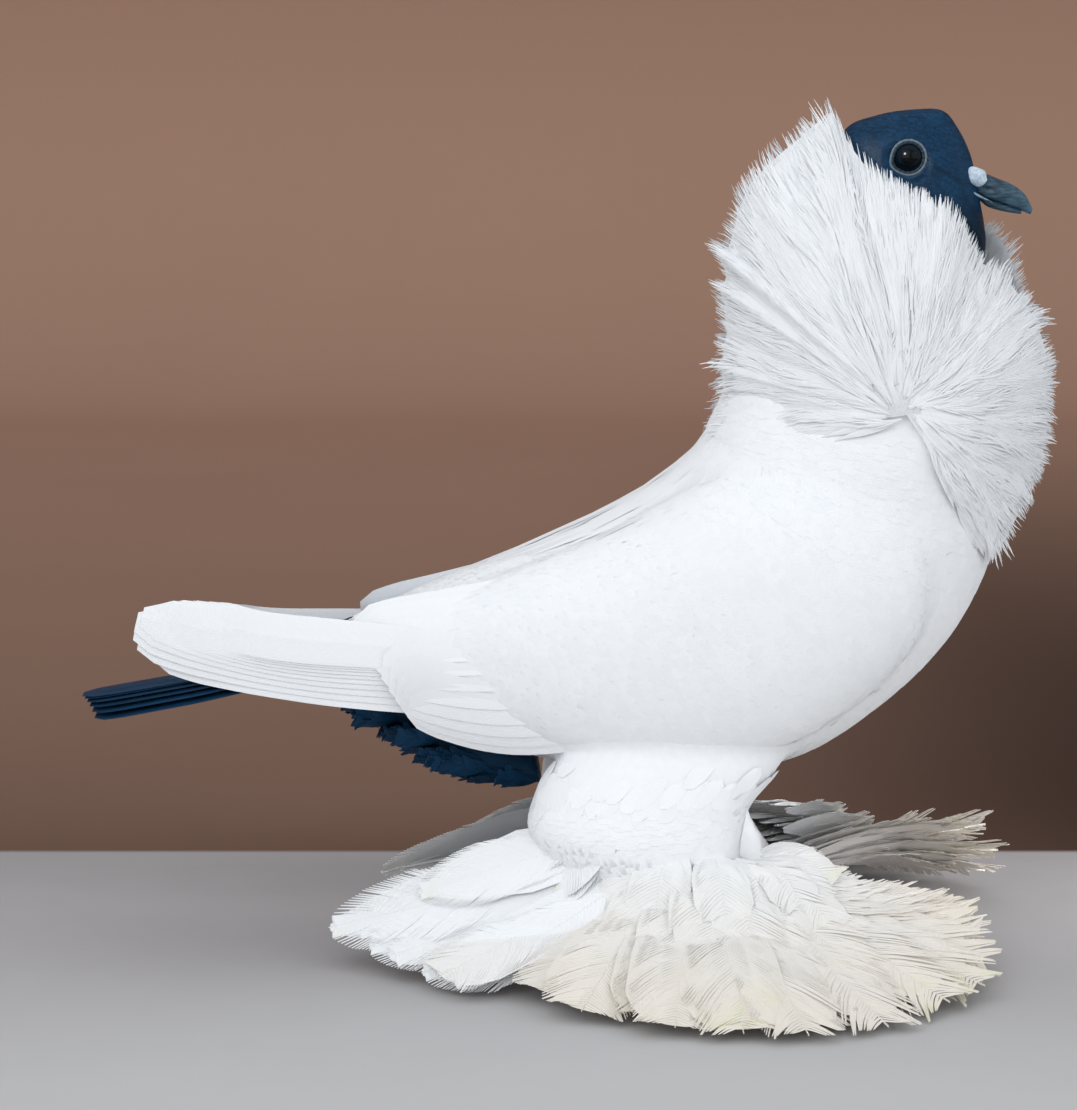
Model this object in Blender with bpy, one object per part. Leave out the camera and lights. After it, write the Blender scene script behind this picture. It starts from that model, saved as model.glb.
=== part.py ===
"""A Schmalkalden moorhead pigeon standing on its feathered feet, as a life-size still model.

Sizes are in metres and +Z is up. The bird faces +X and its left side is +Y.
Soft forms are lofts through oval sections. Feathers are thin tapered vanes, fused to the node they grow from.
A section of the body is its point on the back, its point on the breast or belly, and its half width.
"""

import math

import bmesh
import bpy
import numpy as np

SEAM = 0.0003  # the gap that neighbouring pieces keep
SEED = 11
FLOOR_BLOCK = 0.5

# Back point (x, z), front or belly point (x, z), half width: from the rump to the base of the neck.
TORSO = (
    (-0.066, 0.097, -0.060, 0.080, 0.015),
    (-0.052, 0.103, -0.044, 0.070, 0.022),
    (-0.034, 0.111, -0.022, 0.061, 0.029),
    (-0.014, 0.119, 0.006, 0.054, 0.035),
    (0.008, 0.128, 0.040, 0.051, 0.040),
    (0.024, 0.137, 0.072, 0.057, 0.043),
    (0.035, 0.145, 0.097, 0.073, 0.044),
    (0.040, 0.150, 0.115, 0.091, 0.043),
    (0.043, 0.154, 0.126, 0.110, 0.041),
    (0.044, 0.157, 0.131, 0.128, 0.039),
)
# The neck under its mane, from the body up to the head.
NECK = (
    (0.044, 0.157, 0.131, 0.128, 0.039),
    (0.049, 0.167, 0.134, 0.145, 0.036),
    (0.058, 0.180, 0.134, 0.163, 0.031),
    (0.067, 0.197, 0.132, 0.181, 0.025),
    (0.075, 0.214, 0.130, 0.196, 0.019),
    (0.0812, 0.2312, 0.1252, 0.2052, 0.0145),
)
# The head, from the throat round the crown to the face, where the bill grows.
HEAD = (
    (0.0815, 0.2317, 0.1254, 0.2057, 0.0145),
    (0.0838, 0.2436, 0.1257, 0.2077, 0.0145),
    (0.0935, 0.2480, 0.1257, 0.2097, 0.0142),
    (0.1042, 0.2496, 0.1257, 0.2117, 0.0113),
    (0.1125, 0.2492, 0.1254, 0.2142, 0.0078),
    (0.1172, 0.2438, 0.1250, 0.2170, 0.0057),
    (0.1204, 0.2374, 0.1244, 0.2192, 0.0043),
    (0.1219, 0.2322, 0.1236, 0.2214, 0.0032),
)
UPPER_BILL = (
    (0.1203, 0.2313, 0.1226, 0.2252, 0.0037),
    (0.1247, 0.2310, 0.1252, 0.2234, 0.0035),
    (0.1292, 0.2293, 0.1287, 0.2222, 0.0030),
    (0.1337, 0.2274, 0.1327, 0.2210, 0.0024),
    (0.1373, 0.2245, 0.1361, 0.2199, 0.0017),
    (0.1395, 0.2203, 0.1388, 0.2189, 0.0007),
)
LOWER_BILL = (
    (0.1230, 0.2246, 0.1240, 0.2220, 0.0032),
    (0.1258, 0.2229, 0.1261, 0.2204, 0.0029),
    (0.1292, 0.2215, 0.1291, 0.2192, 0.0024),
    (0.1328, 0.2203, 0.1326, 0.2184, 0.0017),
    (0.1362, 0.2193, 0.1360, 0.2183, 0.0008),
)

EYE_PLACE = (0.1014, 0.2357)
EYE_RADIUS = 0.0047
EYE_DEPTH = 0.0092  # from the middle of the head to the middle of the eye
LID_RADIUS = 0.0051
LID_THICKNESS = 0.0008
CERE_PLACE = (0.1220, 0.2300)
CERE_HALF = (0.0036, 0.0026, 0.0030)
CERE_SPREAD = 0.0027
BILL_SLOPE = math.radians(20)
NOSTRIL = (0.1258, 0.0034, 0.2264)

# The mane fans out from a rosette on each side of the neck. Angle in degrees from straight ahead, upwards;
# reach of the tips from the rosette; distance of the tips from the middle plane.
ROSETTE = (0.099, 0.163)
ROSETTE_BULGE = 0.040
MANE_RIM = (
    (-57, 0.0540, 0.018),
    (-30, 0.0500, 0.005),
    (0, 0.0485, 0.001),
    (30, 0.0515, 0.001),
    (50, 0.0525, 0.004),
    (62, 0.0520, 0.013),
    (72, 0.0590, 0.020),
    (79, 0.0628, 0.024),
    (87, 0.0645, 0.024),
    (94, 0.0688, 0.021),
    (98, 0.0745, 0.015),
    (101, 0.0830, 0.007),
    (103, 0.0930, 0.003),
    (110, 0.0880, 0.002),
    (124, 0.0820, 0.002),
    (132, 0.0750, 0.003),
    (143, 0.0660, 0.003),
    (157, 0.0570, 0.004),
    (178, 0.0530, 0.006),
    (189, 0.0570, 0.010),
)
MANE_CROWN = 2.4  # how flat the mane's side is: the power of its profile
# Root share and tip share of the reach, number of locks, width of a lock, how far it stands out.
MANE_TIERS = (
    (0.50, 1.01, 18, 0.0250, 0.0000),
    (0.24, 0.76, 12, 0.0220, 0.0036),
    (0.05, 0.50, 7, 0.0200, 0.0070),
)
COLLAR = (60, 108, 0.68)  # between these angles the locks are this much narrower, so that the face shows
LOCK_STEP = 0.0022  # every other lock stands this much further out, so that neighbours lie clear

# The folded wing's shield: station on the torso, angle of its upper and lower edge round the body, thickness.
WING_SHIELD = (
    (1.25, 40, 118, 0.0022),
    (2.00, 33, 127, 0.0040),
    (3.00, 29, 132, 0.0058),
    (4.00, 27, 136, 0.0070),
    (5.00, 27, 139, 0.0076),
    (6.00, 30, 140, 0.0072),
    (7.00, 38, 136, 0.0056),
    (7.90, 58, 122, 0.0026),
)
# Tips of the primaries (x, z), from the lowest, which lies deepest, to the topmost.
PRIMARY_TIPS = (
    (-0.1205, 0.0895),
    (-0.1250, 0.0925),
    (-0.1264, 0.0952),
    (-0.1264, 0.0978),
    (-0.1250, 0.0998),
    (-0.1215, 0.1008),
    (-0.1150, 0.1008),
    (-0.1050, 0.1000),
)
SECONDARIES = 6
LAYER = 0.00088  # from one folded flight feather to the next
LEFT_TIP_DROP = 0.0050  # the left wing's top feathers end this much lower, tucked against the right wing
RECTRICES = 6  # on each side
ROOF = 0.00092  # from one tail feather down to the next
STRIDE = 0.012  # the left foot stands this far ahead of the right
LEG_SEAM_Z = 0.040
# Height, centre (x, distance from the middle plane), half length, half width of the feathered leg.
LEG = (
    (0.066, 0.0365, 0.021, 0.0310, 0.0115),
    (0.057, 0.0303, 0.026, 0.0340, 0.0162),
    (0.048, 0.0240, 0.029, 0.0322, 0.0183),
    (LEG_SEAM_Z, 0.022, 0.031, 0.0315, 0.019),
)
SHANK = (
    (LEG_SEAM_Z, 0.022, 0.031, 0.0315, 0.019),
    (0.031, 0.025, 0.032, 0.0280, 0.0175),
    (0.021, 0.034, 0.0335, 0.0235, 0.0150),
    (0.012, 0.043, 0.0345, 0.0195, 0.0120),
    (0.0072, 0.047, 0.035, 0.0170, 0.0100),
)
# The fan of foot feathers, from the hock behind to the toes in front: root (x, out, z) and tip (x, out, z).
MUFF_FAN = (
    (0.006, 0.031, 0.0300, -0.067, 0.034, 0.0115),
    (0.008, 0.037, 0.0280, -0.062, 0.045, 0.0085),
    (0.016, 0.041, 0.0240, -0.037, 0.070, 0.0040),
    (0.027, 0.043, 0.0200, -0.002, 0.098, 0.0030),
    (0.038, 0.043, 0.0165, 0.033, 0.120, 0.0026),
    (0.048, 0.042, 0.0140, 0.068, 0.125, 0.0026),
    (0.056, 0.040, 0.0125, 0.099, 0.107, 0.0028),
    (0.060, 0.037, 0.0120, 0.122, 0.079, 0.0042),
    (0.061, 0.033, 0.0120, 0.131, 0.052, 0.0065),
    (0.060, 0.029, 0.0125, 0.124, 0.030, 0.0085),
)
# Share of the full length, lift of the root and of the tip, number of vanes, width of a vane.
MUFF_TIERS = (
    (1.00, 0.0000, 0.0000, 12, 0.0270),
    (0.74, 0.0045, 0.0052, 7, 0.0280),
    (0.50, 0.0090, 0.0108, 4, 0.0250),
)
MUFF_STEP = 0.0014  # every other vane lies this much higher
FOOT_PLACE = (0.049, 0.035)
# Angle outwards from straight ahead in degrees, length of a toe.
TOES = ((-22, 0.022), (6, 0.029), (36, 0.024), (176, 0.016))
TOE_RADIUS = 0.0031
CLAW_LENGTH = 0.0065

# Share of the way from root to tip, share of the full width.
FLIGHT_FEATHER = ((0.0, 0.45), (0.45, 0.95), (0.92, 0.85), (1.0, 0.25))
BLUNT_FEATHER = ((0.0, 0.3), (0.72, 1.0), (1.0, 0.42))
SOFT_FEATHER = ((0.0, 0.25), (0.62, 1.0), (1.0, 0.25))

WHITE = (0.86, 0.87, 0.88)
CREAM = (0.80, 0.77, 0.70)
MOOR = (0.020, 0.055, 0.110)
HORN = (0.030, 0.050, 0.070)
CERE = (0.62, 0.70, 0.78)
EYE = (0.004, 0.008, 0.014)
SKIN = (0.55, 0.20, 0.17)


def clear_scene():
    for old in list(bpy.data.objects):
        bpy.data.objects.remove(old)


def finish(name, colour, roughness):
    """A plain material of one colour."""
    made = bpy.data.materials.new(name)
    made.use_nodes = True
    shader = made.node_tree.nodes["Principled BSDF"]
    shader.inputs["Base Color"].default_value = (*colour, 1.0)
    shader.inputs["Roughness"].default_value = roughness
    shader.inputs["Metallic"].default_value = 0.0
    return made


def through(rows, places):
    """Rows on a smooth Catmull-Rom curve through the given rows, at places counted in rows from 0."""
    rows = np.array(rows, float)
    padded = np.vstack([2 * rows[0] - rows[1], rows, 2 * rows[-1] - rows[-2]])
    places = np.asarray(places, float)
    first = np.clip(places.astype(int), 0, len(rows) - 2)
    f = (places - first)[:, None]
    a, b, c, d = (padded[first + k] for k in range(4))
    return 0.5 * (
        2 * b + (c - a) * f + (2 * a - 5 * b + 4 * c - d) * f**2 + (3 * b - a - 3 * c + d) * f**3
    )


def evenly(rows, steps):
    """The same curve with `steps` rows to each span."""
    return through(rows, np.linspace(0, len(rows) - 1, steps * (len(rows) - 1) + 1))


def superellipse(angles, power):
    """Cosine and sine, squared off a little by the power."""
    c, s = np.cos(angles), np.sin(angles)
    return np.sign(c) * np.abs(c) ** (2 / power), np.sign(s) * np.abs(s) ** (2 / power)


def body_points(section, angles, lift=0.0, power=2.15):
    """Points round one section of the body. Angle 0 is on the back and 90 degrees on the +Y side."""
    top = np.array([section[0], 0.0, section[1]])
    bottom = np.array([section[2], 0.0, section[3]])
    half = (top - bottom) / 2
    depth = np.linalg.norm(half)
    u, v = superellipse(angles, power)
    across = np.array([0.0, 1.0, 0.0])
    lift = np.broadcast_to(lift, u.shape)
    return (
        (top + bottom) / 2
        + (u * (depth + lift) / depth)[:, None] * half
        + (v * (section[4] + lift))[:, None] * across
    )


def body_rings(stations, steps, count, grow=0.0, power=2.15):
    """Rings of a body, whose sections run forwards or up. `grow` makes it that much larger all round."""
    angles = np.arange(count) * 2 * math.pi / count
    sections = evenly(stations, steps)
    rings = np.array([body_points(s, angles, grow, power) for s in sections])
    for end, away in ((0, -grow), (-1, grow)):
        x_top, z_top, x_bottom, z_bottom = sections[end][:4]
        square = np.array([z_top - z_bottom, 0.0, x_bottom - x_top])
        rings[end] += away * square / np.linalg.norm(square)
    return rings


def column_rings(rows, side, stride, steps, count, grow=0.0):
    """Level oval rings of a leg. The stride moves them ahead, more so the lower they are."""
    angles = np.arange(count) * 2 * math.pi / count
    rings = []
    for z, x, out, half_x, half_y in evenly(rows, steps):
        ahead = stride * np.clip((LEG[0][0] - z) / LEG[0][0], 0, 1)
        ring = np.empty((count, 3))
        ring[:, 0] = x + ahead + (half_x + grow) * np.cos(angles)
        ring[:, 1] = side * (out + (half_y + grow) * np.sin(angles))
        ring[:, 2] = z
        rings.append(ring)
    return np.array(rings)


def build(name, points, faces):
    """A mesh object with its faces pointing out, in the scene."""
    mesh = bpy.data.meshes.new(name)
    mesh.from_pydata([tuple(p) for p in points], [], faces)
    work = bmesh.new()
    work.from_mesh(mesh)
    bmesh.ops.recalc_face_normals(work, faces=work.faces)
    work.to_mesh(mesh)
    work.free()
    made = bpy.data.objects.new(name, mesh)
    bpy.context.scene.collection.objects.link(made)
    return made


def loft(name, rings):
    """A closed surface through rings of one length, with flat ends."""
    count = len(rings[0])
    faces = [tuple(range(count)), tuple((len(rings) - 1) * count + k for k in range(count))]
    for r in range(len(rings) - 1):
        for k in range(count):
            here, beside = r * count + k, r * count + (k + 1) % count
            faces.append((here, beside, beside + count, here + count))
    return build(name, np.concatenate(rings), faces)


def tube(name, path, radii, count=8):
    """A round closed tube along a path, with a radius at each of its points."""
    path = np.array(path, float)
    along = np.gradient(path, axis=0)
    along /= np.linalg.norm(along, axis=1)[:, None]
    across = np.cross(along, (0.0, 0.0, 1.0))
    across /= np.linalg.norm(across, axis=1)[:, None]
    up = np.cross(across, along)
    angles = np.arange(count) * 2 * math.pi / count
    rings = [
        p + r * (np.outer(np.cos(angles), a) + np.outer(np.sin(angles), b))
        for p, r, a, b in zip(path, radii, across, up)
    ]
    return loft(name, rings)


def vane(path, face, width, thick, shape):
    """One feather: a thin closed blade along a smooth path, whose outer side looks along `face`.

    Both sides are split into triangles alike.
    """
    share = np.array(shape)
    centre = through(path, share[:, 0] * (len(path) - 1))
    along = np.gradient(centre, axis=0)
    along /= np.linalg.norm(along, axis=1)[:, None]
    side = np.cross(along, face)
    side /= np.linalg.norm(side, axis=1)[:, None]
    half = side * (width / 2 * share[:, 1])[:, None]
    wall = np.cross(side, along) * thick / 2
    columns = (centre - half + wall, centre + half + wall, centre + half - wall, centre - half - wall)
    points = np.stack(columns, axis=1).reshape(-1, 3)
    last = 4 * (len(share) - 1)
    faces = [(0, 1, 2, 3), (last, last + 1, last + 2, last + 3)]
    for r in range(0, last, 4):
        for k in range(4):
            a, b = r + k, r + (k + 1) % 4
            if k < 2:
                faces += [(a, b, b + 4), (a, b + 4, a + 4)]
            else:
                faces += [(b, a + 4, a), (b, b + 4, a + 4)]
    return build("vane", points, faces)


def islands(work):
    """The faces of a mesh in groups that hang together."""
    left, groups = set(work.faces), []
    while left:
        seed = left.pop()
        group, edge = [seed], [seed]
        while edge:
            for e in edge.pop().edges:
                for f in e.link_faces:
                    if f in left:
                        left.remove(f)
                        group.append(f)
                        edge.append(f)
        groups.append(group)
    return groups


def volume_of(faces):
    """Volume under these faces, by summing the tetrahedra that they make with the origin."""
    total = 0.0
    for f in faces:
        first, rest = f.verts[0].co, f.verts[1:]
        for a, b in zip(rest, rest[1:]):
            total += first.dot(a.co.cross(b.co)) / 6
    return total


def keep_largest(made):
    """Only the largest closed surface stays, as triangles."""
    work = bmesh.new()
    work.from_mesh(made.data)
    bmesh.ops.triangulate(work, faces=work.faces)
    groups = sorted(islands(work), key=volume_of)
    bmesh.ops.delete(work, geom=[f for g in groups[:-1] for f in g], context="FACES")
    loose = [v for v in work.verts if not v.link_faces]
    bmesh.ops.delete(work, geom=loose, context="VERTS")
    work.to_mesh(made.data)
    work.free()


def fuse(made, pieces=(), cutters=()):
    """Joins the pieces to an object, cuts the cutters out of it, and keeps one closed body."""
    group = bpy.data.collections.new("pieces")
    bpy.context.scene.collection.children.link(group)
    for piece in pieces:
        group.objects.link(piece)
    if pieces:
        join = made.modifiers.new("join", "BOOLEAN")
        join.operation = "UNION"
        join.operand_type = "COLLECTION"
        join.collection = group
        join.solver = "MANIFOLD"
    for cutter in cutters:
        cut = made.modifiers.new("cut", "BOOLEAN")
        cut.operation = "DIFFERENCE"
        cut.object = cutter
        cut.solver = "MANIFOLD"
    graph = bpy.context.evaluated_depsgraph_get()
    result = bpy.data.meshes.new_from_object(made.evaluated_get(graph))
    made.modifiers.clear()
    made.data = result
    for piece in list(group.objects):
        bpy.data.objects.remove(piece)
    bpy.data.collections.remove(group)
    keep_largest(made)
    return made


def dress(made, material, angle=40):
    """Gives an object its material and shades its round parts smooth."""
    made.data.materials.clear()
    made.data.materials.append(material)
    made.data.shade_smooth()
    made.data.set_sharp_from_angle(angle=math.radians(angle))
    return made


def torso(name="torso", grow=0.0):
    return loft(name, body_rings(TORSO, 2, 20, grow))


def head_form(name="head", grow=0.0):
    return loft(name, body_rings(HEAD, 2, 18, grow, 2.3))


def ball(name, place, half, turn=0.0, segments=12, rings=8):
    """An ellipsoid with the given half sizes, its front turned down by `turn`."""
    bpy.ops.mesh.primitive_uv_sphere_add(segments=segments, ring_count=rings, radius=1.0, location=place)
    made = bpy.context.object
    made.name = name
    made.scale = half
    made.rotation_euler = (0.0, turn, 0.0)
    bpy.ops.object.transform_apply(location=True, rotation=True, scale=True)
    return made


def eye(side, grow=0.0, name="eye"):
    place = (EYE_PLACE[0], side * EYE_DEPTH, EYE_PLACE[1])
    radius = EYE_RADIUS + grow
    return ball(name, place, (radius, radius, radius))


def lid_ring(side):
    """The bare ring round an eye, which stands a little proud of the head."""
    bpy.ops.mesh.primitive_torus_add(
        location=(EYE_PLACE[0], side * (EYE_DEPTH + 0.0036), EYE_PLACE[1]),
        rotation=(math.pi / 2, 0.0, 0.0),
        major_radius=LID_RADIUS,
        minor_radius=LID_THICKNESS,
        major_segments=14,
        minor_segments=4,
    )
    bpy.ops.object.transform_apply(location=True, rotation=True, scale=True)
    return bpy.context.object


def head():
    """The head with its lids, hollowed where the eyes sit."""
    sockets = [eye(side, SEAM) for side in (-1, 1)]
    made = fuse(head_form(), [lid_ring(side) for side in (-1, 1)], sockets)
    for socket in sockets:
        bpy.data.objects.remove(socket)
    return made


def upper_bill(name="bill_upper", grow=0.0):
    return loft(name, body_rings(UPPER_BILL, 2, 12, grow, 2.0))


def bill():
    """Both halves of the bill, with a nostril on each side, and the white cere over its root,
    which is two lobes and the bridge between them."""
    face, seat = head_form("face", SEAM), upper_bill("seat", SEAM)
    nostrils = [
        ball("nostril", (NOSTRIL[0], side * NOSTRIL[1], NOSTRIL[2]), (0.0019, 0.0009, 0.0006), BILL_SLOPE, 6, 5)
        for side in (-1, 1)
    ]
    upper = fuse(upper_bill(), cutters=[face, *nostrils])
    lower = fuse(loft("bill_lower", body_rings(LOWER_BILL, 1, 10, 0.0, 2.0)), cutters=[face])
    lobes = [
        ball("cere", (CERE_PLACE[0], side * CERE_SPREAD, CERE_PLACE[1]), CERE_HALF, BILL_SLOPE, 10, 7)
        for side in (-1, 0, 1)
    ]
    cere = fuse(lobes[0], lobes[1:], [face, seat])
    cere.name = "cere"
    for helper in (face, seat, *nostrils):
        bpy.data.objects.remove(helper)
    return upper, lower, cere


def mane_point(angle, share, side):
    """A point of the mane's outer form: an angle round the rosette, and a share of the reach."""
    rim = np.array(MANE_RIM)
    reach, out = (np.interp(angle, rim[:, 0], rim[:, k]) for k in (1, 2))
    turn = math.radians(angle)
    y = out + (ROSETTE_BULGE - out) * (1 - share**MANE_CROWN)
    return np.array(
        [
            ROSETTE[0] + share * reach * math.cos(turn),
            side * y,
            ROSETTE[1] + share * reach * math.sin(turn),
        ]
    )


def neck_middle(z):
    """The middle of the neck at a height."""
    low, high = np.array(NECK[0]), np.array(NECK[-1])
    heights = [(row[1] + row[3]) / 2 for row in (low, high)]
    ahead = [(row[0] + row[2]) / 2 for row in (low, high)]
    return np.array([np.interp(z, heights, ahead), 0.0, z])


def mane_angles(count):
    """Angles of the locks, evenly spaced along the rim."""
    angles = np.arange(MANE_RIM[0][0], MANE_RIM[-1][0] + 1.0)
    rim = np.array([mane_point(a, 1.0, 1) for a in angles])
    length = np.concatenate([[0], np.cumsum(np.linalg.norm(np.diff(rim, axis=0), axis=1))])
    return np.interp(np.linspace(0.015, 0.985, count) * length[-1], length, angles)


def mane_locks(side, random):
    """The locks of one side of the mane, in tiers round the rosette."""
    locks = []
    for inner, outer, count, width, stand in MANE_TIERS:
        for k, angle in enumerate(mane_angles(count)):
            start = inner + random.uniform(-0.03, 0.03)
            end = outer + random.uniform(-0.03, 0.02)
            path = [mane_point(angle, start + f * (end - start), side) for f in (0.0, 0.36, 0.7, 1.0)]
            middles = [neck_middle(p[2]) for p in path]
            away = [(p - m) / np.linalg.norm(p - m) for p, m in zip(path, middles)]
            out = stand + LOCK_STEP * (k % 2)
            path = [p + a * out for p, a in zip(path, away)]
            path[0] = middles[0] * 0.52 + path[0] * 0.48
            broad = width * (COLLAR[2] if COLLAR[0] < angle < COLLAR[1] else 1.0)
            locks.append(vane(path, away[2], broad, 0.0008, SOFT_FEATHER))
    return locks


def neck(cutters):
    """The neck and the mane of soft locks that hides it."""
    rings = body_rings(NECK, 1, 16)
    random = np.random.default_rng(SEED)
    locks = [lock for side in (-1, 1) for lock in mane_locks(side, random)]
    return fuse(loft("neck_mane", rings), locks, cutters)


def shield(side, name, grow=0.0, sink=0.003):
    """The smooth part of a folded wing: a curved lens that lies round the side of the torso."""
    rings = []
    for place, low, high, thick in evenly(WING_SHIELD, 2):
        section = through(TORSO, [place])[0]
        share = np.linspace(-1, 1, 7)
        middle, spread = (low + high) / 2, (high - low) / 2
        angles = np.radians(middle + share * (spread + math.degrees(grow / section[4])))
        bulge = thick * np.sqrt(1 - np.abs(share) ** 3 * 0.96) + grow
        outer = body_points(section, angles, bulge)
        inner = body_points(section, angles[::-2], -sink)
        ring = np.vstack([outer, inner])
        ring[:, 1] *= side
        rings.append(ring)
    return loft(name, rings)


def primaries(side):
    """The long feathers of the wing's tip, folded into a stack. The lower one lies deeper."""
    feathers = []
    for k, (x, z) in enumerate(PRIMARY_TIPS):
        high, out = k / (len(PRIMARY_TIPS) - 1), LAYER * k
        drop = LEFT_TIP_DROP * high * (side > 0)
        path = [
            (0.000, 0.0380 + out, 0.0800 + 0.0100 * high),
            (-0.040, 0.0265 + out, 0.0795 + 0.0135 * high - drop / 2),
            (-0.085, 0.0165 + out, 0.0840 + 0.0120 * high - drop),
            (x, 0.0080 + out, z - drop),
        ]
        path = [np.array(p) * (1, side, 1) for p in path]
        face = np.array([-0.20, side * 0.97, 0.12])
        feathers.append(vane(path, face, 0.0125, 0.00055, FLIGHT_FEATHER))
    return feathers


def secondaries(side):
    """The shorter feathers that lie over them along the body."""
    feathers = []
    for k in range(SECONDARIES):
        high = k / (SECONDARIES - 1)
        places = (
            (5.2, 120 - 58 * high, 0.0040 - 0.0030 * high),
            (2.7, 119 - 59 * high, 0.0068 - 0.0050 * high),
            (0.35 + 0.6 * (1 - high), 112 - 52 * high, 0.0100 - 0.0060 * high),
        )
        path = []
        for station, angle, lift in places:
            section, turn = through(TORSO, [station])[0], np.radians([angle])
            path.append(body_points(section, turn, lift + LAYER * k)[0] * (1, side, 1))
        section = through(TORSO, [1.8])[0]
        near, far = (body_points(section, np.radians([116 - 56 * high]), lift)[0] for lift in (0.0, 0.01))
        feathers.append(vane(path, (far - near) * (1, side, 1), 0.0145, 0.00055, BLUNT_FEATHER))
    return feathers


def wing(side, name, cutters):
    return fuse(shield(side, name), primaries(side) + secondaries(side), cutters)


def tail(cutters):
    """The rump's short end with twelve tail feathers: the middle pair on top, the others below like a roof."""
    core = [
        (-0.0930, 0.0860, -0.0920, 0.0775, 0.0100),
        (-0.0780, 0.0935, -0.0745, 0.0780, 0.0130),
        (-0.0664, 0.0968, -0.0604, 0.0802, 0.0146),
    ]
    feathers = []
    for side in (-1, 1):
        for k in range(RECTRICES):
            if k:
                width = 0.0050 + 0.0022 * k
                outs = (0.0003 + 0.24 * width, 0.0003 + 0.48 * width, 0.0003 + 0.52 * width)
                drop = ROOF * (k + 1)
            else:
                width, outs, drop = 0.0110, (0.0010, 0.0014, 0.0018), ROOF * (side > 0)
            path = [
                (-0.070, side * outs[0], 0.0892 - drop * 0.9),
                (-0.105, side * outs[1], 0.0820 - drop),
                (-0.1435 + 0.0007 * k, side * outs[2], 0.0752 - drop),
            ]
            face = np.array([0.12, side * 0.08, 1.0])
            feathers.append(vane(np.array(path), face, width, 0.00055, FLIGHT_FEATHER))
    return fuse(loft("tail", body_rings(core, 1, 12)), feathers, cutters)


def undertail(cutters):
    """The loose dark feathers under the root of the tail."""
    core = [
        (-0.0600, 0.0860, -0.0585, 0.0705, 0.012),
        (-0.0440, 0.0780, -0.0420, 0.0615, 0.016),
        (-0.0260, 0.0680, -0.0240, 0.0530, 0.017),
        (-0.0080, 0.0600, -0.0055, 0.0505, 0.014),
    ]
    random = np.random.default_rng(SEED + 5)
    feathers = []
    for row, ahead in enumerate(np.linspace(0.95, 0.18, 4)):
        section = through(core, [ahead * 3])[0]
        for out in (-0.8, 0.0, 0.8):
            jitter = random.uniform(-0.0015, 0.0015, 2)
            root = np.array([section[2] + jitter[0] + 0.004, out * section[4] * 0.6, section[3] + 0.004])
            drop = 0.0082 - 0.0008 * row + jitter[1]
            path = [
                root,
                root + (-0.007, out * 0.003, -drop * 0.8),
                root + (-0.018, out * 0.005, -drop - 0.0002 * row),
            ]
            feathers.append(vane(path, np.array([-0.3, out * 0.5, -1.0]), 0.0145, 0.0008, SOFT_FEATHER))
    return fuse(loft("undertail", body_rings(core, 1, 12)), feathers, cutters)


def leg(side, name, stride, cutters):
    return fuse(loft(name, column_rings(LEG, side, stride, 1, 16)), cutters=cutters)


def muff_feathers(side, stride, random):
    """The stiff feathers that fan out from a foot, in tiers like tiles."""
    feathers = []
    for tier, (length, root_lift, tip_lift, count, width) in enumerate(MUFF_TIERS):
        for k, place in enumerate(np.linspace(0.0, 1.0, count)):
            row = through(MUFF_FAN, [place * (len(MUFF_FAN) - 1)])[0]
            step = MUFF_STEP * (k % 2)
            root = row[:3] + (0, 0, root_lift + step)
            tip = root + (row[3:] - root) * length * random.uniform(0.95, 1.02)
            tip[2] = row[5] + tip_lift + step
            root[:2] -= (tip - root)[:2] * 0.10
            middle = (root + tip) / 2 + (0, 0, 0.0045 + 0.0012 * tier)
            path = [p * (1, side, 1) + (stride, 0, 0) for p in (root, middle, tip)]
            outwards = (path[2] - path[0]) * (1, 1, 0)
            face = np.array([0.0, 0.0, 1.0]) + outwards / np.linalg.norm(outwards) * 0.15
            feathers.append(vane(path, face, width, 0.0008, BLUNT_FEATHER))
    return feathers


def muff(side, name, stride, cutters):
    """The feathered shank with its fan of foot feathers."""
    rings = column_rings(SHANK, side, stride, 1, 14)
    rings[0][:, 2] -= SEAM
    random = np.random.default_rng(SEED + 17 + side)
    return fuse(loft(name, rings), muff_feathers(side, stride, random), cutters)


def foot(side, name, stride, grow=0.0):
    """The toes and claws on the floor. Their undersides are cut flat at one level."""
    hub = np.array([FOOT_PLACE[0] + stride * 0.9, side * FOOT_PLACE[1], 0.0])
    made = ball(name, hub + (0, 0, 0.0030), (0.0085 + grow, 0.0070 + grow, 0.0037 + grow), 0.0, 9, 6)
    parts = []
    for angle, length in TOES:
        turn = math.radians(angle)
        ahead = np.array([math.cos(turn), side * math.sin(turn), 0.0])
        ends = [hub + ahead * length * f + (0, 0, z) for f, z in ((0.1, 0.0029), (0.6, 0.0025), (1.0, 0.0023))]
        radii = [TOE_RADIUS + grow, TOE_RADIUS * 0.9 + grow, TOE_RADIUS * 0.72 + grow]
        parts.append(tube("toe", ends, radii, 6))
        base = hub + ahead * (length - 0.001)
        claw = [base + (0, 0, 0.0027), base + ahead * CLAW_LENGTH * 0.5 + (0, 0, 0.0030),
                base + ahead * CLAW_LENGTH + (0, 0, 0.0009)]
        parts.append(tube("claw", claw, [0.0014 + grow, 0.0010 + grow, 0.0003 + grow], 4))
    bpy.ops.mesh.primitive_cube_add(size=1.0, location=(0.0, 0.0, -FLOOR_BLOCK / 2))
    floor = bpy.context.object
    floor.scale = (FLOOR_BLOCK * 2, FLOOR_BLOCK * 2, FLOOR_BLOCK)
    bpy.ops.object.transform_apply(location=True, rotation=True, scale=True)
    fuse(made, parts, [floor])
    bpy.data.objects.remove(floor)
    return made


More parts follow.
